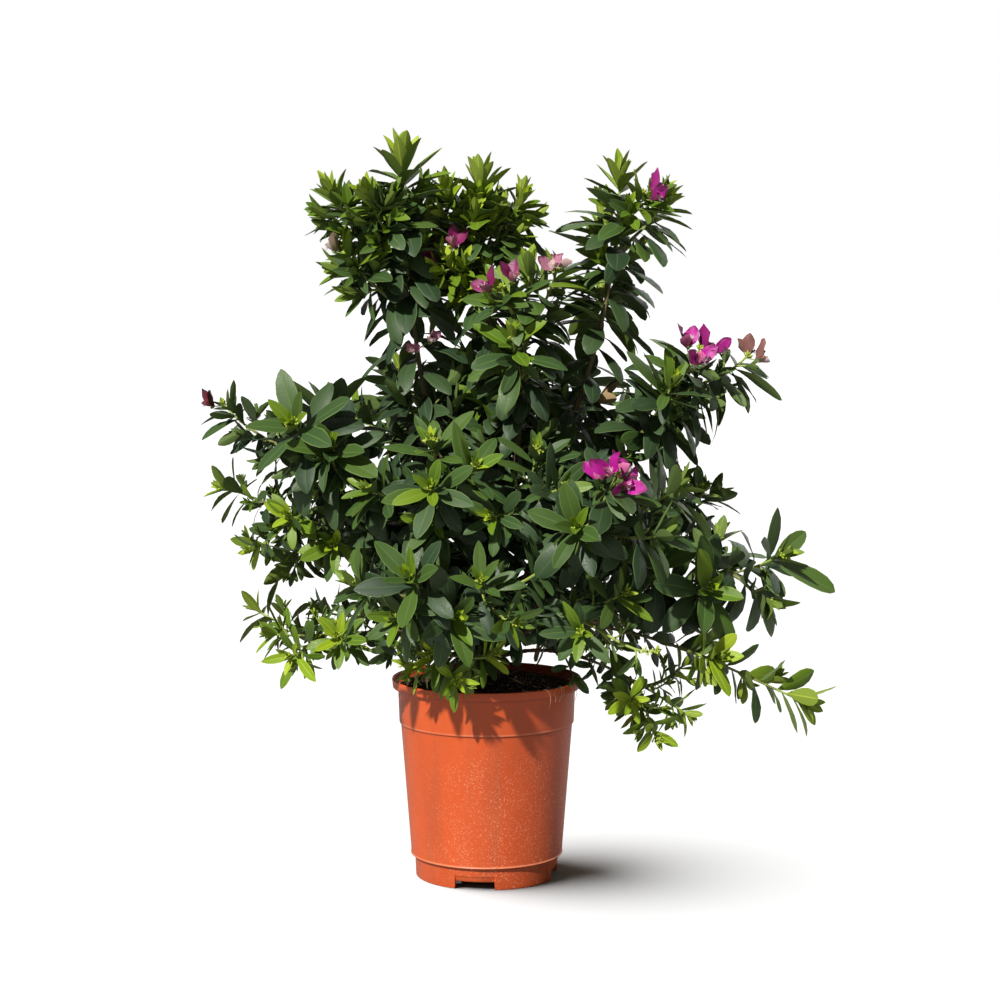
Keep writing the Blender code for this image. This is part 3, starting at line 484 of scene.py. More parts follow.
shoots = dict(
    tall_left=sprout((-66, 20, 556), 86, 94, 44, 34, 59, 0.72,
        ((42, -118, 8, 535), (30, -108, -10, 492), (55, -88, -22, 530), (50, -50, 55, 515)), tuft=30,
        least=0.55, slim=0.92, open=1.15, arched=0.75, dense=1.9, bushy=0.45, sprig=0.68, packed=1.45,
        small=dict.fromkeys(range(1, 7), 0.8), facing=0.3, leafy=0.75, spent=((16, -100), (20, -60)),
        flowers={2: (1, "spent")}),
    tall_middle=sprout((-5, 45, 546), 85, None, 50, 42, 54, 0.26,
        ((50, -30, 30, 540), (45, 26, 55, 536), (30, -32, 10, 488), (55, 8, 82, 525)), tuft=34, least=0.48,
        slim=0.95, dense=2.3, bushy=0.3, sprig=0.77, packed=1.35, small=dict.fromkeys(range(1, 5), 0.85),
        leafy=0.5, flowers={3: (2, "dusk")}),
    middle_front=sprout((33, -45, 480), 80, 92, 46, 30, 48, 0.62,
        ((55, 12, -62, 466), (50, 54, -30, 478), (25, 20, -76, 428)), tuft=20, least=0.4, dense=1.3,
        flowers={1: (2, "dusk"), 2: (2, "pale")}),
    tall_right=sprout((104, 5, 548), 88, 100, 46, 32, 53, 0.52,
        ((62, 137, 0, 530), (68, 120, -16, 538), (42, 94, 34, 512)), tuft=26, least=0.46, open=1.15,
        arched=0.75, dense=0.8, bushy=0.5, sprig=0.8, packed=1.15, facing=0.3, leafy=0.6,
        flowers={2: (2, "magenta")}),
    right_shoulder=sprout((165, -20, 418), 62, 80, 46, 28, 50, 1.1,
        ((62, 204, 0, 412), (30, 142, -46, 392), (35, 150, 22, 382)), dense=1.9,
        flowers={0: (4, "magenta"), 1: (2, "faded")}),
    left_shoulder=sprout((-148, -60, 368), 55, 72, 46, 28, 50, 1.5,
        ((35, -207, 8, 374), (45, -115, -90, 348), (50, -120, -18, 372)), dense=2, packed=1.15,
        small={1: 0.55}, nod=(4, -26, -4), facing=0.3, cluster=True, flowers={1: (1, "maroon")}),
    mid_left=sprout((-208, 0, 310), 20, 52, 42, 22, 32, 0.55,
        ((45, -154, -30, 290), (50, -184, -20, 262), (30, -160, 30, 244), (20, -118, -34, 268)), slim=0.95,
        dense=2),
    low_left=sprout((-168, -50, 200), 8, 26, 40, 20, 30, 0.36,
        ((40, -184, -4, 214), (30, -112, -86, 204), (55, -150, -78, 188)), slim=0.85, dense=1.3),
    front_left=sprout((-40, -108, 352), 66, 66, 46, 26, 42, 1.2,
        ((50, -40, -142, 322), (35, -86, -108, 318), (45, -8, -122, 335)), slim=0.9, cluster=True),
    front_middle=sprout((38, -92, 344), 66, 78, 46, 24, 38, 1.3, ((45, 4, -130, 300), (45, 58, -108, 320)),
        slim=0.9, cluster=True),
    front_right=sprout((96, -128, 322), 48, 58, 44, 26, 46, 1.3,
        ((45, 142, -100, 318), (45, 66, -152, 294), (40, 130, -124, 286)), nod=(0, 0, 8),
        flowers={0: (5, "magenta")}),
    front_low=sprout((-55, -152, 258), 35, 44, 42, 22, 44, 1.4,
        ((50, -66, -140, 226), (40, -97, -118, 248), (35, -22, -138, 226))),
    front_low_middle=sprout((-4, -142, 254), 32, 34, 42, 20, 32, 1.1,
        ((45, 44, -132, 264), (50, 22, -140, 222)), slim=0.8),
    rim_front=sprout((-42, -98, 192), 12, 12, 38, 19, 27, 0.3, ((50, -22, -110, 174), (45, 8, -95, 192)),
        slim=0.72, more=((55, -62, -88, 184),)),
    right_arm=sprout((230, -42, 256), 20, 46, 44, 24, 50, 1.2,
        ((35, 170, -72, 238), (45, 182, -8, 270), (15, 130, -72, 260)), slim=1.12, dense=0.6, packed=0.85,
        nod=(-4, -14, 6), facing=0.5, cluster=True),
    low_right=sprout((246, -60, 148), -22, 30, 40, 22, 33, 0.2, ((30, 178, -70, 186), (40, 168, -28, 206)),
        slim=1.15, open=0.6, arched=0.4, dense=0.6, facing=0.4),
    low_right_short=sprout((158, -40, 134), -32, 14, 44, 19, 26, 0.3,
        ((45, 132, -62, 120), (30, 112, -72, 152)), slim=0.95),
    right_mid=sprout((184, 42, 302), 42, 62, 46, 22, 34, 1.1, ((35, 192, 46, 236), (40, 150, 4, 314)),
        dense=1.4),
    front_right_low=sprout((102, -114, 240), 25, 22, 42, 20, 34, 0.9,
        ((30, 126, -120, 198), (45, 70, -128, 214)), slim=0.85, buds=(1,)),
    back_left_high=sprout((-72, 112, 398), 68, 86, 46, 28, 42, 0.9,
        ((40, -112, 90, 360), (40, -40, 132, 375))),
    back_middle_high=sprout((8, 140, 425), 70, 96, 46, 28, 42, 0.9, ((40, -22, 162, 390), (40, 42, 120, 400)),
        flowers={0: (3, "magenta")}),
    back_right_high=sprout((78, 118, 398), 66, 84, 46, 28, 42, 0.9,
        ((40, 117, 95, 362), (40, 55, 152, 365))),
    back_left=sprout((-138, 118, 290), 35, 56, 42, 24, 38, 1, ((40, -167, 70, 275), (40, -95, 152, 285))),
    back_right=sprout((140, 120, 285), 35, 50, 42, 24, 38, 1, ((40, 172, 75, 262), (40, 100, 152, 280))),
    back_middle=sprout((4, 188, 290), 35, 68, 42, 24, 38, 1, ((40, -47, 175, 270), (40, 50, 175, 265))),
    back_low_left=sprout((-95, 130, 196), 5, 28, 40, 20, 32, 1, ((40, -142, 90, 200), (40, -53, 152, 200))),
    back_low_right=sprout((100, 128, 190), 0, 20, 40, 20, 32, 1, ((40, 147, 80, 195), (40, 53, 152, 190))))


def distances(first, second):  # each point of the first list to its nearest in the second
    return np.sqrt(((first[:, None] - second[None]) ** 2).sum(axis=2)).min(axis=1)


def nodding(path, nod):  # the outer half is moved by nod, more and more towards the tip
    share = np.clip((path.run / path.length - 0.5) / 0.5, 0, 1)[:, None]
    return Path(path.points + share ** 2 * nod)


def allPoints(paths):
    return np.vstack([path.points for path in paths])


# A twig stays where it is clear of all other shoots, and a sprig where its outer half is also clear of
# its own shoot's limbs
def growLimbs():
    gap = trunk["clearance"] / 2
    for name, shoot in shoots.items():
        whole = boughPath(shoot)
        cut = shoot.bare * whole.length
        shoot.bough = whole.part(0, cut - gap)
        shoot.stem = nodding(whole.part(cut + gap, whole.length), shoot.nod)
        shoot.limbs = [shoot.stem]
        shoot.draw = random.Random(name)
    room = 2 * limb["twigRadius"] + limb["room"]
    for shoot in shoots.values():
        others = (other for other in shoots.values() if other is not shoot)
        taken = allPoints(path for other in others for path in [other.bough, *other.limbs])
        twigs, more = ([twigPath(shoot.stem, *row) for row in rows] for rows in (shoot.twigs, shoot.more))
        for path in twigs + sprigPaths(shoot.stem, shoot.draw, limb["sprigs"], limb["sprigLength"]):
            clear = distances(path.points, taken).min() >= room
            outer = distances(path.points[limb["steps"] // 2:], allPoints(shoot.limbs)).min()
            if clear and (path in twigs or outer >= 3 * room):
                shoot.limbs.append(path)
        shoot.limbs += more


growLimbs()
print("limbs:", sum(len(shoot.limbs) for shoot in shoots.values()))

# short side twigs that the solids leave out, within the same reach: outer ones on the stem and
# twigs, and inner ones on the bough, in the shade of the crown
fine = dict(
    radius=0.0009, room=0.0042,
    outer=dict(gap=0.021, length=0.019, last=0.86, longest=7, older=0.008),
    inner=dict(gap=0.022, length=0.038, first=0.34, last=0.97, longest=6, older=0.03))


def growFineTwigs():
    for shoot in shoots.values():
        shoot.fine = []
        for kind, carriers in (("outer", shoot.limbs), ("inner", [shoot.bough])):
            given = fine[kind]
            first = given.get("first", shoot.bushy)
            for path in carriers:
                count = round(shoot.dense * min(given["longest"], path.length / given["gap"]))
                for twig in sprigPaths(path, shoot.draw, count, given["length"], first, given["last"]):
                    own = allPoints(carriers + [other for other, _ in shoot.fine])
                    if distances(twig.points[limb["steps"] * 2 // 3:], own).min() >= fine["room"]:
                        shoot.fine.append((twig, kind))


growFineTwigs()
print("fine twigs:", sum(len(shoot.fine) for shoot in shoots.values()))

# leaves: a young one is short and stands along its twig, an old one is long, arches and droops
leaf = dict(
    gapYoung=0.0008, gapOld=0.0056, agePack=0.034, stemBare=0.004, twigBare=0.006, fineBare=0.003,
    fineGap=1.5, twigSize=0.94, innerSize=0.86, spared=0.004, size=1.04, dryShare=0.022, dryFrom=0.02,
    toneAges=(0.023, 0.009, 0.004), agesVary=(0.75, 1.3), seed=100, tries=4, tryTurn=math.radians(75),
    ownAge=0.01, thickness=0.00055, bladeGrain=(900, 0.44, 0.6, 0.00008),
    dullGrain=(900, 0.6, 0.8, 0.00008), gloss=0.36,
    stations=(0, 0.08, 0.24, 0.44, 0.64, 0.82, 0.94, 1), columns=(-1, -0.9, -0.055, 0.055, 0.9, 1))
leafVaries = dict(  # what differs from leaf to leaf, with the spread and the arch in degrees
    spread=(-9, 9), length=(0.82, 1.08), width=(0.9, 1.12), arch=(-16, 16), point=(-0.1, 0.1),
    fold=(-0.08, 0.1), twist=(-0.35, 0.35), wave=(0.02, 0.12), phase=(0, 1))
# the edge colour is painted light: a pale strip along the margin where light shines through the thin leaf
leafParts = ("top a", "top b", "top c", "rib", "edge", "under")
leafTones = dict(  # a leaf is deep, and one tone fresher below each of the toneAges, or else dry
    deep=((44, 65, 36), (51, 72, 39), (39, 59, 36), (58, 79, 46), (68, 89, 51), (74, 91, 57)),
    green=((58, 83, 34), (52, 76, 38), (66, 90, 32), (76, 100, 46), (84, 108, 50), (88, 108, 54)),
    fresh=((88, 116, 20), (78, 107, 22), (98, 123, 24), (110, 134, 40), (112, 136, 36), (94, 114, 44)),
    lime=((130, 155, 22), (116, 144, 22), (145, 164, 32), (162, 178, 60), (156, 174, 54), (120, 140, 48)),
    dry=((150, 118, 78), (126, 96, 60), (166, 136, 92), (176, 148, 108), (130, 100, 66), (160, 134, 98)))


# A leaf as a function of u along it and v across it. Its spine is an arc that turns down by the arch.
# Its half width is width / 2 times u^a (1-u)^b, over that product's greatest value. A point stands off
# the spine sideways by v half widths, and upwards by half widths times (fold |v| - roll v^4), turned
# about the spine by twist times u, with a wave along the edge. Two more points a station are the rib below.
def leafSurface(form, given):
    u = np.reshape(given["stations"], (1, -1, 1, 1))
    v = np.reshape(given["columns"], (1, 1, -1, 1))
    a, b, width, least, arch, length, twist, fold, roll, wave, phase, thickness = (
        np.reshape(form[name], (-1, 1, 1, 1)) for name in (
            "swell", "point", "width", "least", "arch", "length", "twist", "fold", "roll", "wave", "phase",
            "thickness"))
    root, out, up = (np.reshape(form[name], (-1, 1, 1, 3)) for name in ("root", "out", "up"))
    fullest = (a / (a + b)) ** a * (b / (a + b)) ** b
    half = width / 2 * np.maximum(u ** a * (1 - u) ** b / fullest, least)
    turn = arch * u
    spine = root + length / arch * (np.sin(turn) * out - (1 - np.cos(turn)) * up)
    lift = turned(turn, up, out)
    across = np.cross(out, up)
    sideways = turned(twist * u, across, lift)
    upwards = np.cos(twist * u) * lift - np.sin(twist * u) * across
    waves = wave * v * np.sin(2 * math.pi * (1.6 * u + phase))
    top = spine + half * v * sideways + half * (fold * np.abs(v) - roll * v ** 4 + waves) * upwards
    deep = thickness * np.clip(4 * (1 - u), 0, 1) * (0.4 + 0.6 * half / half.max(axis=1, keepdims=True))
    rib = spine - deep * upwards
    aside = 0.06 * half * sideways
    return np.concatenate([top, rib - aside, rib + aside], axis=2)


# Leaves as a part, from their grids, with faces outwards all round. slots has one row a leaf: a slot for
# each top face, then one for the underside and one for the rib below.
def leafSolids(points, given, slots):
    wide = len(given["columns"]) + 2
    number = np.arange(len(given["stations"]) * wide).reshape(-1, wide)
    low, high, end = number[:-1], number[1:], wide - 3
    top = quads(low[:, :end], low[:, 1:end + 1], high[:, 1:end + 1], high[:, :end])
    left, right, rib = (quads(low[:, a], high[:, a], high[:, b], low[:, b])
                        for a, b in ((0, end + 1), (end + 2, end), (end + 1, end + 2)))
    ends = np.array([[*number[0, -2:], *number[0, end::-1]], [*number[-1, :-2], *number[-1, :-3:-1]]])
    under, faceSets = slots[:, -2:-1], []
    for faces, given in ((top, slots[:, :-2]), (np.concatenate([left, right]), under), (rib, slots[:, -1:]),
                         (ends, under)):
        repeated = given.repeat(len(faces) // given.shape[1], axis=1).ravel()
        faceSets.append((copied(faces, len(points), number.size), repeated))
    return points.reshape(-1, 3), faceSets


# All leaves of a twig, at one turn about it. With its age, the distance below the tip, a leaf opens from
# 14 to 76 degrees, grows to its length, arches by 4 to 70 degrees, droops, and turns its top to the sky.
def leafForm(path, ages, turn, size, shoot, draw, attempt):
    tuft, arched, facing = shoot.tuft, shoot.arched, shoot.facing
    distance = path.length - ages
    along = path.direction(distance)
    normal, across = around(along)
    angle = (turn + goldenAngle * np.arange(len(ages)) + attempt * leaf["tryTurn"])[:, None]
    opened = 14 + shoot.open * (46 * smooth(ages / 0.013) + 16 * smooth(ages / 0.08))
    opened = np.radians(opened + draw["spread"])[:, None]
    droop = -0.16 * skyward * (arched * smooth(ages / 0.07))[:, None]
    out = unit(turned(opened, along, turned(angle, normal, across)) + droop)
    root = path.at(distance)
    outward = root * (1, 1, 0) / (np.linalg.norm(root[:, :2], axis=1, keepdims=True) + 0.01)
    sky = unit(0.5 * outward + np.array([0, -facing, 1]))
    up = 0.8 * unit(along - out * (along * out).sum(axis=-1, keepdims=True) + 1e-6 * normal)
    up = squared(up + (0.5 + 0.4 * facing) * smooth(ages / 0.02)[:, None] * sky, out)
    grown = (shoot.least + (1 - shoot.least) * smooth(ages / tuft)) * (1 - 0.16 * smooth(ages / 0.15))
    length = size * grown * draw["length"]
    young = 1 - smooth(ages / (0.008 + tuft))
    return dict(
        root=root, out=out, up=up, length=length, least=0.07,
        thickness=leaf["thickness"] * (0.6 + 0.4 * grown),
        width=shoot.slim * length * (0.34 - 0.01 * young) * draw["width"],
        arch=np.radians(4 + 66 * arched * smooth(ages / 0.045) + draw["arch"]),
        fold=0.18 + 0.32 * young + draw["fold"], roll=0.2 - 0.14 * young, twist=draw["twist"],
        wave=draw["wave"] * (1 - 0.6 * young), phase=draw["phase"], swell=1.1 - 0.35 * young,
        point=0.68 + 0.06 * young + draw["point"])


def leafAges(length, bare, first=0.0, wider=1.0):  # distances below the tip, close together near it
    ages = [first]
    while ages[-1] < length - bare:
        gap = leaf["gapYoung"] + (leaf["gapOld"] - leaf["gapYoung"]) * smooth(ages[-1] / leaf["agePack"])
        ages.append(ages[-1] + wider * gap)
    return np.array(ages[:-1])


cells = {}  # what already fills the crown, by place, so that only near things are compared


def cellOf(point):
    return tuple(np.floor(point / keepOff["cell"]).astype(int))


def settle(shape, middle, owner=None):
    cells.setdefault(cellOf(middle), []).append((shape, owner))


def meets(shape, middle, owner):
    near = itertools.product(*((at - 1, at, at + 1) for at in cellOf(middle)))
    return any(whose != owner and shape.overlap(other) for at in near for other, whose in cells.get(at, ()))


bladeFaces = [(row * 3 + side, row * 3 + side + 1, row * 3 + side + 4, row * 3 + side + 3)
              for row in range(3) for side in range(2)]
keepOff = dict(
    rimRadius=0.0765, rimHeight=0.16, compostRadius=0.069, compostHeight=0.1545, limbRadius=0.0011,
    limbStep=0.018, cell=0.045)


def solid(points, faces):
    return BVHTree.FromPolygons(points.tolist(), faces)


def blade(grid, stations, columns):  # the part of a leaf's grid that is tested, and its middle
    points = grid[np.ix_(stations, columns)].reshape(-1, 3)
    return solid(points, bladeFaces), points.mean(axis=0)


def onPot(points):
    radii, heights = np.hypot(points[..., 0], points[..., 1]), points[..., 2]
    inside = radii <= keepOff["compostRadius"]
    top = np.where(inside, keepOff["compostHeight"], keepOff["rimHeight"])
    return bool(((radii < keepOff["rimRadius"]) & (heights < top)).any())


# Blossom: each flower has two wings that stand up in a V, a keel folded like a boat with a pale brush
# at its tip, two small petals between them and three green sepals on a short stalk
blossom = dict(
    wing=dict(length=0.0182, width=0.0102, arch=-0.15, fold=0.55, roll=0.26, swell=0.9, point=0.78),
    keel=dict(length=0.012, width=0.0084, arch=-0.6, fold=1.3, roll=0.1, swell=0.7, point=0.45),
    petal=dict(length=0.009, width=0.0038, arch=-0.3, fold=0.2, roll=0.0, swell=0.7, point=0.55),
    sepal=dict(length=0.0046, width=0.0028, arch=0.4, fold=-0.3, roll=0.0, swell=0.8, point=0.7),
    stations=(0, 0.14, 0.32, 0.52, 0.72, 0.88, 1), columns=(-1, -0.5, 0, 0.5, 1), thickness=0.0003,
    unevenness=0.22, stalk=0.009, stalkRadius=0.00045, gap=0.003, bunch=4, brushCount=16,
    brushLength=0.004, brushRadius=0.00014, clearLength=0.03, clearWidth=0.006, clearFront=0.05,
    frontEdge=0.06, grain=(1400, 0.45, 0.65, 0.00005), commonGrain=(1400, 0.55, 0.75, 0.00005), seed=7)
tintParts = ("wing", "edge", "base", "back")
tints = dict(
    magenta=((162, 8, 130), (126, 10, 98), (196, 100, 148), (138, 20, 108)),
    dusk=((120, 22, 82), (88, 18, 56), (176, 98, 128), (98, 26, 64)),
    pale=((176, 116, 140), (126, 56, 90), (212, 178, 176), (148, 94, 112)),
    faded=((148, 96, 96), (108, 56, 54), (184, 156, 144), (122, 80, 76)),
    spent=((178, 158, 156), (132, 96, 84), (190, 178, 166), (146, 122, 110)),
    maroon=((92, 16, 40), (62, 18, 26), (124, 48, 62), (76, 22, 34)))
blossomCommon = dict(brush=(240, 216, 226), sepal=(124, 140, 66))
wing, edge, base, back = range(4)  # the slots of each tint, and after the last tint the brush and the sepals
brush, sepal = 4 * len(tints), 4 * len(tints) + 1
towardsCamera = np.array([(0, -1, 0), (1, 0, 0), (0, 0, 1)])


def petalSolids(kind, roots, outs, ups, sizes, slots):  # one petal of a kind for each root
    shape, count = blossom[kind], len(roots)
    draw = np.random.default_rng(round(1e6 * shape["length"]))
    outs = unit(outs + blossom["unevenness"] * draw.normal(size=(count, 3)))
    points = leafSurface(dict(
        shape, root=roots, out=outs, up=squared(ups, outs), length=sizes * shape["length"],
        width=sizes * shape["width"], twist=draw.uniform(-0.8, 0.8, count),
        wave=draw.uniform(0.1, 0.28, count), phase=draw.uniform(0, 1, count), least=0.12,
        thickness=blossom["thickness"]), blossom)
    for grid in points:
        settle(*blade(grid, [0, 2, 4, 6], [0, 2, 4]))
    return leafSolids(points, blossom, slots)


def petalSlots(pattern, under, tint):  # a row for each petal: its top faces by station, then its back
    wide = len(blossom["columns"]) - 1
    top = [np.broadcast_to(row, wide) for row in pattern]
    return np.concatenate([*top, [under, under]])[None] + 4 * tint[:, None]


def keepClear(start, face, across, lift, length=blossom["clearLength"]):  # a wedge where no leaf may grow
    wide = blossom["clearWidth"]
    sides = [wide * (a * across + b * lift) for a, b in ((-1, -0.6), (1, -0.6), (1, 1.6), (-1, 1.6))]
    ahead = length * face + 0.4 * wide * lift
    faces = [(0, 1, 4), (1, 2, 4), (2, 3, 4), (3, 0, 4), (0, 2, 4), (1, 3, 4)]
    for share in (0.5, 1.0):
        settle(solid(start + np.array([*sides, share * ahead]), faces), start + share * ahead / 2)


def flowerPlaces():  # of each flower its stalk, its directions, its tint, if it is in front, and its size
    draw = np.random.default_rng(blossom["seed"])
    places = []

    def add(start, leave, stalk, face, lift, tint, front, opened, size):
        lift = squared(lift, face)
        tint = list(tints).index(tint)
        end, across = start + stalk * leave, np.cross(face, lift)
        places.append((start, end, leave, face, lift, across, tint, front, opened, size))

    for shoot in shoots.values():
        front = shoot.tip[1] < blossom["frontEdge"]
        for index, (count, tint) in shoot.flowers.items():
            path, bunch = shoot.limbs[index], count >= blossom["bunch"]
            apart, longer, larger = (1.5, 1.35, 1.1) if bunch else (1, 1, 1)
            turn = draw.uniform(0, 2 * math.pi)
            for number in range(count):
                distance = path.length - 0.002 - blossom["gap"] * number * apart
                along, start = path.direction(distance), path.at(distance)
                outward = unit(start * (1, 1, 0) + (0, -0.045 if front else -0.02, 0))
                turn += 2 * math.pi / count if bunch else goldenAngle
                side = turned(turn, *around(along))
                face = unit(0.25 * along + 0.62 * side + 0.75 * outward)
                leave, lift = unit(0.4 * along + side + 0.35 * outward), skyward + 0.6 * along + 0.35 * side
                stalk = blossom["stalk"] * draw.uniform(0.85, 1.25) * longer
                opened, size = draw.uniform(0.8, 1.2), draw.uniform(0.92, 1.12) * larger
                add(start, leave, stalk, face, lift, tint, front, opened, size)
        for share, azimuth in shoot.spent:  # small, faded and nearly closed
            start = shoot.stem.at(share / 100 * shoot.stem.length)
            leave, face = (rise(math.radians(azimuth), slope) for slope in (20, -10))
            add(start, leave, 2.2 * blossom["stalk"], face, skyward, "pale", False, 0.6, 0.75)
    return map(np.array, zip(*places))


def makeBlossom():
    starts, ends, leaves, faces, lifts, across, tint, fronts, opened, sizes = flowerPlaces()
    draw = np.random.default_rng(blossom["seed"] + 1)
    for end, face, side, lift, front in zip(ends, faces, across, lifts, fronts):
        keepClear(end, face, side, lift)
        if front:
            keepClear(end, *towardsCamera, blossom["clearFront"])
    parts = []

    def add(kind, outs, ups, slots, roots=ends):
        parts.append(petalSolids(kind, roots, outs, ups, sizes, slots))

    wingSlots = petalSlots([base, wing, wing, wing, (edge, wing, wing, edge), edge], back, tint)
    for side in (-1, 1):
        outs = 0.34 * faces + side * 0.62 * opened[:, None] * across + 0.72 * lifts
        add("wing", outs, faces - 0.55 * side * across, wingSlots)
        add("petal", 0.8 * faces + side * 0.2 * across + 0.45 * lifts, lifts,
            petalSlots([base, base, base, wing, wing, edge], base, tint))
    keels = unit(0.97 * faces - 0.12 * lifts)
    add("keel", keels, lifts, petalSlots([base, base, base, base, wing, wing], base, tint))
    sepalSlots = np.full_like(wingSlots, sepal)
    for turn in np.radians([90, 210, 330]):
        outs = 0.75 * faces + 0.7 * turned(turn, across, lifts)
        add("sepal", outs, -faces, sepalSlots, ends - 0.0006 * faces)
    for start, leave, end, face, lift, keel, size in zip(starts, leaves, ends, faces, lifts, keels, sizes):
        pull = start + 0.5 * blossom["stalk"] * leave
        stalk = bezier(start - 0.0008 * leave, pull, end - 0.002 * face, end + 0.0008 * face)
        parts.append(tube(Path(stalk), blossom["stalkRadius"], sides=6, rings=8, slots=sepal))
        tip = end + 0.0088 * size * keel + 0.0022 * lift
        for _ in range(blossom["brushCount"]):
            spray = unit(0.8 * face + 0.5 * lift + 0.55 * draw.normal(size=3))
            foot = tip + 0.0007 * draw.normal(size=3) - 0.0008 * face
            hairTip = foot + blossom["brushLength"] * draw.uniform(0.6, 1.1) * spray
            strand = Path(np.array([foot, (foot + hairTip) / 2 + 0.0003 * draw.normal(size=3), hairTip]))
            radii = np.array([1, 0.9, 0.6]) * blossom["brushRadius"]
            parts.append(tube(strand, radii, sides=3, rings=3, slots=brush))
    materials = []
    for name, colours in tints.items():
        materials += skins(f"flower {name}", zip(tintParts, colours), blossom["grain"])
    materials += skins("flower", blossomCommon, blossom["commonGrain"])
    makePiece("blossom", parts, materials)


# buds: small green beads packed round the growing tips, and strung along the twigs that end in buds
buds = dict(
    raceme=0.016, racemeGap=0.0016, bare=0.066, clearStep=0.008, tipCount=9, clusterCount=26,
    clusterSize=1.5, length=0.0044, width=0.0018, seed=9, grain=(1400, 0.45, 0.6, 0.00005),
    colours=dict(green=(138, 156, 44), yellow=(158, 172, 66), pale=(182, 192, 120)))


def makeBuds():
    draw = np.random.default_rng(buds["seed"])
    rows = []

    def add(middle, axis, size, stout, slot):
        rows.append((middle, unit(axis), buds["length"] * size, stout * buds["width"] * size, slot))

    for shoot in shoots.values():
        for index, path in enumerate(shoot.limbs):
            along, tip = path.direction(path.length), path.at(path.length)
            head = shoot.cluster and index == 0
            count, bigger = (buds["clusterCount"], buds["clusterSize"]) if head else (buds["tipCount"], 1)
            for number in range(count):  # a dome of buds
                side = turned(number * goldenAngle, *around(along))
                axis = turned(1.35 * math.sqrt(number / count), along, side)
                size = bigger * draw.uniform(0.85, 1.2)
                add(tip + 0.45 * buds["length"] * size * axis, axis, size, 1, number % 2)
            if index not in shoot.buds:
                continue
            for age in np.arange(0, buds["bare"], buds["clearStep"]):
                keepClear(path.at(path.length - age), *towardsCamera)
            for number in range(int(buds["raceme"] / buds["racemeGap"])):
                age = buds["racemeGap"] * number
                side = turned(number * goldenAngle, *around(along))
                size = 0.55 + 0.55 * age / buds["raceme"]
                middle = path.at(path.length - age) + 0.0024 * size * unit(side + 0.5 * along)
                add(middle, side + 0.7 * along, size, 1.35, 2)
    materials = skins("bud", buds["colours"], buds["grain"])
    makePiece("buds", [beads(*map(np.array, zip(*rows)))], materials)


makeBuds()
print("buds made")


def settleLimbs():  # limbs fill the crown before the leaves do, in short lengths
    for name, shoot in shoots.items():
        twigs = [twig for twig, _ in shoot.fine]
        for number, path in enumerate([shoot.bough, *shoot.limbs, *twigs]):
            pieces = max(1, round(path.length / keepOff["limbStep"]))
            for index in range(pieces):
                part = path.part(path.length * index / pieces, path.length * (index + 1) / pieces)
                points, faceSets = tube(part, keepOff["limbRadius"], sides=3, rings=3)
                settle(solid(points, faceSets[0][0].tolist()), part.at(part.length / 2), (name, number))


# Leaves along a twig, each at the first of a few turns where it meets nothing, or else left out. The
# youngest, of an age below spared, always stay.
def growLeaves(path, size, bare, rng, owner, shoot, older=0.0, first=0.0, spared=0.0):
    ages = leafAges(path.length, bare, first, (leaf["fineGap"] if older else 1.0) / shoot.packed)
    if not len(ages):
        return
    draw = {name: rng.uniform(low, high, len(ages)) for name, (low, high) in leafVaries.items()}
    turn = rng.uniform(0, 2 * math.pi)
    grids = [leafSurface(leafForm(path, ages, turn, size, shoot, draw, attempt), leaf)
             for attempt in range(leaf["tries"])]
    looks = (ages + older) * rng.uniform(*leaf["agesVary"], len(ages)) * shoot.fresh
    dry = (rng.uniform(0, 1, len(ages)) < leaf["dryShare"]) & (older > leaf["dryFrom"])
    tones = np.where(dry, len(leafTones) - 1, sum(looks < limit for limit in leaf["toneAges"]))
    shades = rng.integers(0, 3, len(ages))
    for age, tone, shade, *tries in zip(ages, tones, shades, *grids):
        for points in tries:
            shape, middle = blade(points, [1, 3, 5, 7], [0, 2, 5])
            if age < spared or not (onPot(points) or meets(shape, middle, owner)):
                settle(shape, middle, owner if age < leaf["ownAge"] else None)
                shoot.leaves.append((points, tone * len(leafParts), shade))
                break


def growCrown():  # shoot by shoot, first the leaves of its stem and twigs, then those of its fine twigs
    for number, (name, shoot) in enumerate(shoots.items()):
        rng = np.random.default_rng(leaf["seed"] + number)
        shoot.leaves = []
        size = shoot.longest * leaf["size"]
        bough = shoot.bough
        leafy = bough.part(bough.length * (1 - shoot.leafy), bough.length).points if shoot.leafy else []
        for index, path in enumerate([Path(np.array([*leafy, *shoot.stem.points])), *shoot.limbs[1:]]):
            share, bare = (leaf["twigSize"], leaf["twigBare"]) if index else (1, leaf["stemBare"])
            share *= shoot.small.get(index, 1)
            first = buds["bare"] if index in shoot.buds else 0.0
            spared = 0 if index in shoot.flowers else leaf["spared"]
            growLeaves(path, size * share, bare, rng, (name, index + 1), shoot, 0.0, first, spared)
        for index, (path, kind) in enumerate(shoot.fine, 1 + len(shoot.limbs)):
            share = shoot.sprig if kind == "outer" else leaf["innerSize"]
            growLeaves(path, size * share, leaf["fineBare"], rng, (name, index), shoot, fine[kind]["older"],
                       spared=leaf["spared"])


settleLimbs()
makeBlossom()
growCrown()
print("leaves:", sum(len(shoot.leaves) for shoot in shoots.values()))

leafPieces = dict(
    tall_left="tall_left", tall_middle="tall_middle", tall_right="middle_front tall_right",
    left="left_shoulder mid_left low_left front_left",
    front="front_middle front_right front_low front_low_middle rim_front front_right_low",
    right="right_shoulder right_arm low_right low_right_short right_mid",
    back_high="back_left_high back_middle_high back_right_high",
    back_low="back_left back_right back_middle back_low_left back_low_right")
ribSlot, paintedLightEdgeSlot, underSlot = 3, 4, 5
# for leafSolids, with 0 where a blade has one of its shades, and the pale strip of painted light along each
# edge
leafSlots = np.array([paintedLightEdgeSlot, 0, ribSlot, 0, paintedLightEdgeSlot] * (len(leaf["stations"]) - 1) + [underSlot, ribSlot])


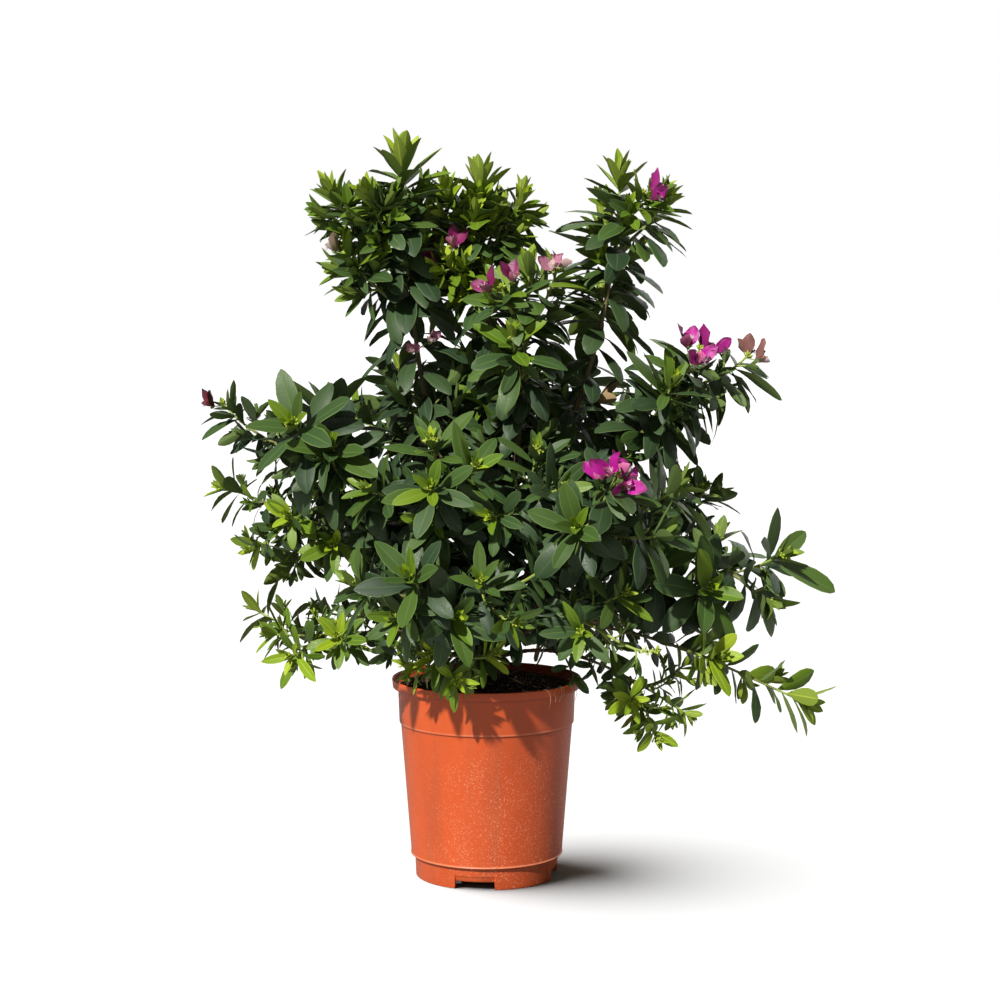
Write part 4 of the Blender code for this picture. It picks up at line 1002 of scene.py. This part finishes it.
def makeLeaves():
    materials = []
    for tone, colours in leafTones.items():
        named = list(zip(leafParts, colours))
        materials += skins(f"leaf {tone}", named[:ribSlot], leaf["bladeGrain"], leaf["gloss"])
        materials += skins(f"leaf {tone}", named[ribSlot:], leaf["dullGrain"], leaf["gloss"])
    for piece, names in leafPieces.items():
        names = names.split()
        leaves = [entry for name in names for entry in shoots[name].leaves]
        points, tone, shade = map(np.array, zip(*leaves))
        slots = np.where(leafSlots == 0, shade[:, None], leafSlots) + tone[:, None]
        replaced = [f"foliage_{name}" for name in names]
        makePiece(f"leaves_{piece}", [leafSolids(points, leaf, slots)], materials, replaced)


makeLeaves()
print("leaf pieces made")

# trunk and boughs with the relief of thin bark, and green twigs that brown with age
bark = dict(
    tones=(rgb(112, 92, 66), rgb(78, 62, 44), 160, 0.35), grain=(1200, 0.7, 0.92, 0.0003),
    boughSides=10, ringGap=0.0022, relief=0.00016, ridge=0.0035, crack=0.0022, joint=0.004, collar=0.25,
    collarLength=0.006)
twigTones = dict(
    colours=dict(old=(104, 92, 58), middle=(112, 118, 58), young=(140, 158, 70)), youngest=0.03,
    middle=0.085, sides=6, ringGap=0.006, grain=(1500, 0.5, 0.7, 0.0001))


# bark relief: ridges that run along the limb, from ripples that are long in its direction
def barkRelief(depth, seed):
    def relief(points):
        ridges = ripple(points * (1, 1, 0.3), bark["ridge"], seed)
        return (depth * (ridges + 0.6 * ripple(points, bark["crack"], seed + 1)))[..., None]
    return relief


def makeBark():
    heights = np.linspace(trunk["foot"] - trunk["sunk"], trunk["top"], trunk["rings"])
    radii = trunkRadius(np.maximum(heights, trunk["foot"]))
    relief = barkRelief(trunk["relief"], 3)
    parts = [tube(Path(trunkAxis(heights)), radii, trunk["sides"], trunk["rings"], 0, relief)]
    for number, shoot in enumerate(shoots.values()):
        bough = shoot.bough
        path = Path(np.vstack([bough.points[0] - bough.direction(0) * bark["joint"], bough.points]))
        rings = max(8, round(path.length / bark["ringGap"]))
        radii = shoot.girth * np.linspace(1, limb["taper"], rings)
        collar = np.exp(-np.linspace(0, path.length, rings) / bark["collarLength"])
        radii = radii + bark["collar"] * shoot.girth * collar
        parts.append(tube(path, radii, bark["boughSides"], rings, 0, barkRelief(bark["relief"], 10 + number)))
    made = skin("bark", bark["tones"], bark["grain"])
    makePiece("trunk_and_boughs", parts, [made], ["trunk"] + [f"bough_{name}" for name in shoots])


def twigTube(path, foot, tip, before):  # slots follow how far the wood is from its shoot's growing end
    rings = max(4, round(path.length / twigTones["ringGap"]))
    age = before + path.length * (1 - np.linspace(0, 1, rings))
    slots = np.where(age < twigTones["youngest"], 2, np.where(age < twigTones["middle"], 1, 0))
    return tube(path, np.linspace(foot, tip, rings), twigTones["sides"], rings, slots)


def makeTwigs():
    parts = []
    for shoot in shoots.values():
        bough = shoot.bough
        joint = bough.part(bough.length - bark["joint"], bough.length)
        stem = Path(allPoints([joint, shoot.stem]))
        parts.append(twigTube(stem, shoot.girth * limb["taper"], limb["tipRadius"], 0))
        for index, path in enumerate(shoot.limbs[1:], 1):
            before = -1 if index in shoot.buds else 0
            parts.append(twigTube(path, limb["twigRadius"], limb["tipRadius"], before))
        for path, kind in shoot.fine:
            parts.append(twigTube(path, fine["radius"], 0.7 * fine["radius"], fine[kind]["older"]))
    makePiece("twigs", parts, skins("twig", twigTones["colours"], twigTones["grain"]))


makeBark()
makeTwigs()
print("bark and twigs made")

# pot: its outline in tenths of a mm, as radius and height, as the solid has it and with rounded corners
pot = dict(
    inside=((0, 15), (190, 15), (250, 75), (537.5, 75), (558, 159), (585, 189), (665, 1215), (677, 1245),
            (687, 1525), (735, 1525), (735, 1580)),
    outside=((750, 1580), (744, 1510), (702, 1510), (692, 1230), (680, 1223), (600, 188), (607, 181),
             (600, 174), (573, 174), (565, 0)),
    under=((545, 0), (545, 60), (250, 60), (190, 0), (0, 0)), fillet=0.0007, filletSteps=3, sides=168,
    soilRadius=0.0687, ringLow=0.0565, ringInner=0.0545, wall=0.0015, floor=0.006, notches=4,
    notchFirst=math.radians(260.5), notchWidth=0.032, notchHeight=0.0105, notchEdge=0.0006, drains=6,
    drainCircle=0.039, drainRadius=0.004)
potLooks = dict(
    tone=rgb(201, 83, 32), other=rgb(182, 70, 25), stain=rgb(162, 76, 42), lime=rgb(228, 154, 116),
    dirt=rgb(70, 32, 20), wear=rgb(200, 100, 54), grain=(700, 0.36, 0.56, 0.00012),
    specks=((250, 0.2, 0.55), (420, 0.28, 0.5), (700, 0.34, 0.4)),  # scale, size and strength
    # the darker lines are painted shade under the lip, under the band's step and under the foot's bead; the
    # pale lime lines are painted highlights along the band's step and the foot's bead
    lines=((0.1509, 0.0016, 0.65, "dirt"), (0.1224, 0.0012, 0.6, "dirt"), (0.124, 0.001, 0.45, "lime"),
           (0.0186, 0.0011, 0.5, "lime"), (0.0168, 0.0012, 0.45, "dirt")))  # height, reach and strength


def outline(*names):
    return np.vstack([pot[name] for name in names]) / 10000


# Rounds each corner of a profile: back on both sides, to a and b, and a (1-t)^2 + 2 corner t (1-t) + b t^2
def rounded(profile):
    made = [profile[:1]]
    t = np.linspace(0, 1, pot["filletSteps"] + 1)[:, None]
    for before, corner, after in zip(profile[:-2], profile[1:-1], profile[2:]):
        reach = min(pot["fillet"], *(0.4 * np.linalg.norm(side - corner) for side in (before, after)))
        first, last = (corner + reach * unit(side - corner) for side in (before, after))
        made.append(first * (1 - t) ** 2 + 2 * corner * t * (1 - t) + last * t ** 2)
    return np.vstack(made + [profile[-1:]])


# Surface turned about Z: (r cos a, r sin a, z) for each profile point and angle, its two ends one point
# each. The profile runs down its outer side, and the faces point outwards.
def lathed(profile, angles, reshape):
    points = reshape(polar(profile[1:-1, :1], angles, profile[1:-1, 1:]))
    number = np.arange(points[..., 0].size).reshape(-1, len(angles))
    caps = np.concatenate([fan(number[0], number.size), fan(number[-1], number.size + 1)[:, [1, 0, 2]]])
    poles = profile[[0, -1], 1][:, None] * skyward
    return np.concatenate([points.reshape(-1, 3), poles]), [(walls(number[1:], number[:-1]), 0), (caps, 0)]


def potMaterial():
    made, tree, base = principled("terracotta plastic", potLooks["grain"])
    where = place(tree)
    axes = node(tree, "ShaderNodeSeparateXYZ", {0: where}).outputs
    colour = blotched(tree, potLooks["tone"], potLooks["other"], 9, 0.5)
    streaks = noise(tree, place(tree, (60, 60, 5)), 1.0, 4.0)
    colour = mixed(tree, times(tree, spread(tree, streaks, 0.5, 0.72), 0.55), colour, potLooks["stain"])
    pale = noise(tree, where, 26.0, 6.0, 0.7)
    colour = mixed(tree, times(tree, spread(tree, pale, 0.52, 0.75), 0.3), colour, potLooks["wear"])
    below = spread(tree, axes[2], 0.125, 0.1, 0.2, 1.0)
    side = times(tree, spread(tree, axes[0], -0.062, -0.02, 0.45, 1.0), below)
    for scale, size, share in potLooks["specks"]:
        spots = node(tree, "ShaderNodeTexVoronoi", {"Vector": where, "Scale": scale}).outputs[0]
        limit = times(tree, spread(tree, noise(tree, where, scale / 9, 3.0), 0.2, 0.65, 0.3, 1.0), side)
        specks = spread(tree, reckon(tree, "SUBTRACT", times(tree, limit, size), spots), -0.04, 0.12)
        colour = mixed(tree, times(tree, specks, share), colour, potLooks["lime"])
    for height, reach, share, look in potLooks["lines"]:  # painted shade below the steps and painted highlights along their edges
        near = reckon(tree, "ABSOLUTE", reckon(tree, "SUBTRACT", axes[2], height))
        broken = spread(tree, pale, 0.35, 0.6, 0.5, 1.0)
        # at each height a thin line of painted shade, or of painted highlight where the look is lime, broken
        # up by the pale patches
        paintedLine = times(tree, spread(tree, near, reach, 0.0, 0.0, share), broken)
        colour = mixed(tree, paintedLine, colour, potLooks[look])
    fill(tree, base, colour)
    return made


def makePot():
    edge, half = pot["notchEdge"] / pot["ringLow"], pot["notchWidth"] / 2 / pot["ringLow"]
    notches = pot["notchFirst"] + 2 * math.pi * np.arange(pot["notches"]) / pot["notches"]
    steps = [notch + sign * half + edge * shift
             for notch in notches for sign in (-1, 1) for shift in (-0.5, -0.17, 0.17, 0.5)]
    angles = np.unique(np.round(np.concatenate([circle(pot["sides"]), np.mod(steps, 2 * math.pi)]), 6))
    away = np.abs((angles[:, None] - notches + math.pi) % (2 * math.pi) - math.pi).min(axis=1)
    share = smooth((half - away) / edge + 0.5)  # 1 inside a foot notch, with steep sides

    def cutNotches(points):
        radii, heights = np.hypot(points[..., 0], points[..., 1]), points[..., 2]
        skirt = (radii > pot["ringInner"] - 0.0005) & (heights < pot["notchHeight"])
        inner = smooth((radii - pot["ringInner"]) / (pot["ringLow"] - pot["ringInner"]))
        lifted = pot["floor"] + (pot["notchHeight"] - pot["floor"]) * inner
        points[..., 2] += np.where(skirt, share * np.maximum(lifted - heights, 0), 0)
        return points

    parts = [lathed(rounded(outline("inside", "outside", "under")), angles, cutNotches)]
    drillDrains(makePiece("pot_shell", parts, [potMaterial()], ["pot"], crease=38))


def drillDrains(shell):
    for turn in 2 * math.pi * (np.arange(pot["drains"]) + 0.5) / pot["drains"]:
        bpy.ops.mesh.primitive_cylinder_add(
            vertices=24, radius=pot["drainRadius"], depth=2 * pot["floor"],
            location=polar(pot["drainCircle"], pot["notchFirst"] + turn, pot["floor"]))
        cut = shell.modifiers.new("drain", "BOOLEAN")
        cut.operation = "DIFFERENCE"
        cut.object = bpy.context.object
    drills = [cut.object for cut in shell.modifiers]
    drilled = bpy.data.meshes.new_from_object(shell.evaluated_get(bpy.context.evaluated_depsgraph_get()))
    shell.modifiers.clear()
    shell.data = drilled
    for drill in drills:
        bpy.data.objects.remove(drill, do_unlink=True)


makePot()
print("pot made")

# compost: a low mound, rough with crumbs, bark chips and pale grit
compost = dict(
    edge=0.15, top=0.16, flat=0.017, gap=0.0003, roughness=0.0016, lump=0.011, crumb=0.004, calm=0.01,
    rings=60, sides=180, seed=4, reach=0.066,
    looks=(("compost", (rgb(78, 58, 42), rgb(44, 33, 25), 240), (1400, 0.85, 1.0, 0.0009)),
           ("bark chip", (rgb(138, 98, 64), rgb(78, 58, 42), 300), (1600, 0.75, 0.95, 0.0004)),
           ("grit", rgb(214, 202, 182), (2000, 0.7, 0.95, 0.0003))),
    # count, least and greatest size and flatness of the crumbs, the chips and the grit
    bits=((1000, 0.0011, 0.004, 0.8), (190, 0.002, 0.006, 0.35), (110, 0.001, 0.0024, 0.9)))


def compostHeight(radii):  # flat in the middle, then falling smoothly to the pot's wall
    share = np.clip((radii - compost["flat"]) / (pot["soilRadius"] - compost["flat"]), 0, 1)
    return compost["top"] + (compost["edge"] - compost["top"]) * smooth(share) ** 0.9


def makeCompost():
    gap = compost["gap"]
    radii = np.linspace(0, pot["soilRadius"] - 2 * gap, compost["rings"])
    inner = outline("inside")
    foot = (pot["ringInner"] - pot["wall"], pot["floor"] + pot["wall"] + gap)
    profile = np.vstack([
        np.stack([radii, compostHeight(radii)], axis=1), (radii[-1], compost["edge"] - 0.004),
        inner[7:4:-1] - (gap, 0), foot, inner[2:0:-1] + (-gap, gap), (0, pot["wall"] + gap)])
    rows = len(radii) - 2

    def roughen(points):
        top = points[:rows]
        lumps = ripple(top, compost["lump"], 21) + 0.5 * ripple(top, compost["crumb"], 22)
        calm = smooth((np.hypot(top[..., 0], top[..., 1]) - compost["calm"]) / compost["calm"])
        points[:rows, :, 2] += compost["roughness"] * 0.5 * lumps * calm
        return points

    parts = [lathed(profile, circle(compost["sides"]), roughen)]
    draw = np.random.default_rng(compost["seed"])
    for slot, (count, low, high, squash) in enumerate(compost["bits"]):
        radius = compost["reach"] * np.sqrt(draw.uniform(0.03, 1, count))
        azimuth = draw.uniform(0, 2 * math.pi, count)
        size = low + (high - low) * draw.uniform(0, 1, count) ** 2
        middles = polar(radius, azimuth, compostHeight(radius) + 0.25 * size)
        axes = unit(draw.normal(size=(count, 3)) * (1, 1, 0.4))
        parts.append(beads(middles, axes, size, size * squash, slot, dent=0.32, seed=30 + slot))
    makePiece("compost", parts, [skin(*look) for look in compost["looks"]], ["soil"], crease=80)


makeCompost()
print("compost made")

# a few fallen leaves on the compost, and fine roots that have grown over the rim
fallen = dict(
    count=9, length=(0.02, 0.032), reach=(0.022, 0.056), lift=0.0022, seed=12,
    colours=dict(tan=rgb(148, 114, 74), brown=rgb(116, 86, 54)))
roots = dict(
    turns=(-56, -42, -39, -35, -33, -18), radius=0.00018, colour=rgb(196, 168, 132), rings=40, sides=5,
    course=((0.058, 0.0009), (0.0675, 0.0022), (0.0726, 0.003), (0.0734, 0.0062), (0.0742, 0.0085),
            (0.0753, 0.0082), (0.0755, 0.004), (0.0754, 0.0005), (0.075, -0.004), (0.0742, -0.009)))


def makeFallenLeaves():
    draw = np.random.default_rng(fallen["seed"])
    count = fallen["count"]
    azimuth = draw.uniform(0, 2 * math.pi, count)
    reach = draw.uniform(*fallen["reach"], count)
    root = polar(reach, azimuth, compostHeight(reach) + fallen["lift"] * draw.uniform(1.0, 1.6, count))
    out = unit(polar(1, draw.uniform(0, 2 * math.pi, count), 0.05) - 1.1 * unit(root * (1, 1, 0)))
    up = squared(unit(skyward + 0.2 * draw.normal(size=(count, 3))), out)
    length = draw.uniform(*fallen["length"], count)
    points = leafSurface(dict(
        root=root, out=out, up=up, length=length, width=0.34 * length, arch=draw.uniform(-0.7, 0.9, count),
        fold=draw.uniform(0.2, 0.8, count), roll=0.2, twist=draw.uniform(-0.8, 0.8, count), wave=0.25,
        phase=draw.uniform(0, 1, count), swell=0.9, point=0.6, least=0.07, thickness=leaf["thickness"]), leaf)
    slots = np.broadcast_to((np.arange(count) % 2)[:, None], (count, len(leafSlots)))
    materials = [
        skin(f"dry leaf {name}", (colour, tuple(0.6 * np.array(colour)), 160), (900, 0.6, 0.85, 0.0002))
        for name, colour in fallen["colours"].items()]
    makePiece("fallen_leaves", [leafSolids(points, leaf, slots)], materials)


def makeRoots():  # each follows the course over the rim, and its azimuth drifts and wavers on the way
    draw = np.random.default_rng(fallen["seed"] + 1)
    share = np.linspace(0, 1, len(roots["course"]))
    along = np.linspace(0, draw.uniform(0.9, 1.0), roots["rings"])
    course = np.array(roots["course"]) + (0, compost["edge"])
    parts = []
    for turn in np.radians(roots["turns"]):
        radius, height = (np.interp(along * draw.uniform(0.86, 1.0), share, side) for side in course.T)
        wander = 0.022 * np.sin(draw.uniform(8, 16) * along + draw.uniform(0, 6))
        azimuth = turn + draw.uniform(-0.15, 0.15) * along + wander
        path = Path(polar(radius, azimuth, height))
        parts.append(tube(path, roots["radius"], roots["sides"], roots["rings"]))
    makePiece("fine_roots", parts, [skin("fine root", roots["colour"], (1800, 0.7, 0.9, 0.0001))])


makeFallenLeaves()
makeRoots()
print("fallen leaves and roots made")

makeCamera()
makeLight()
bpy.context.scene.view_settings.view_transform = "Standard"
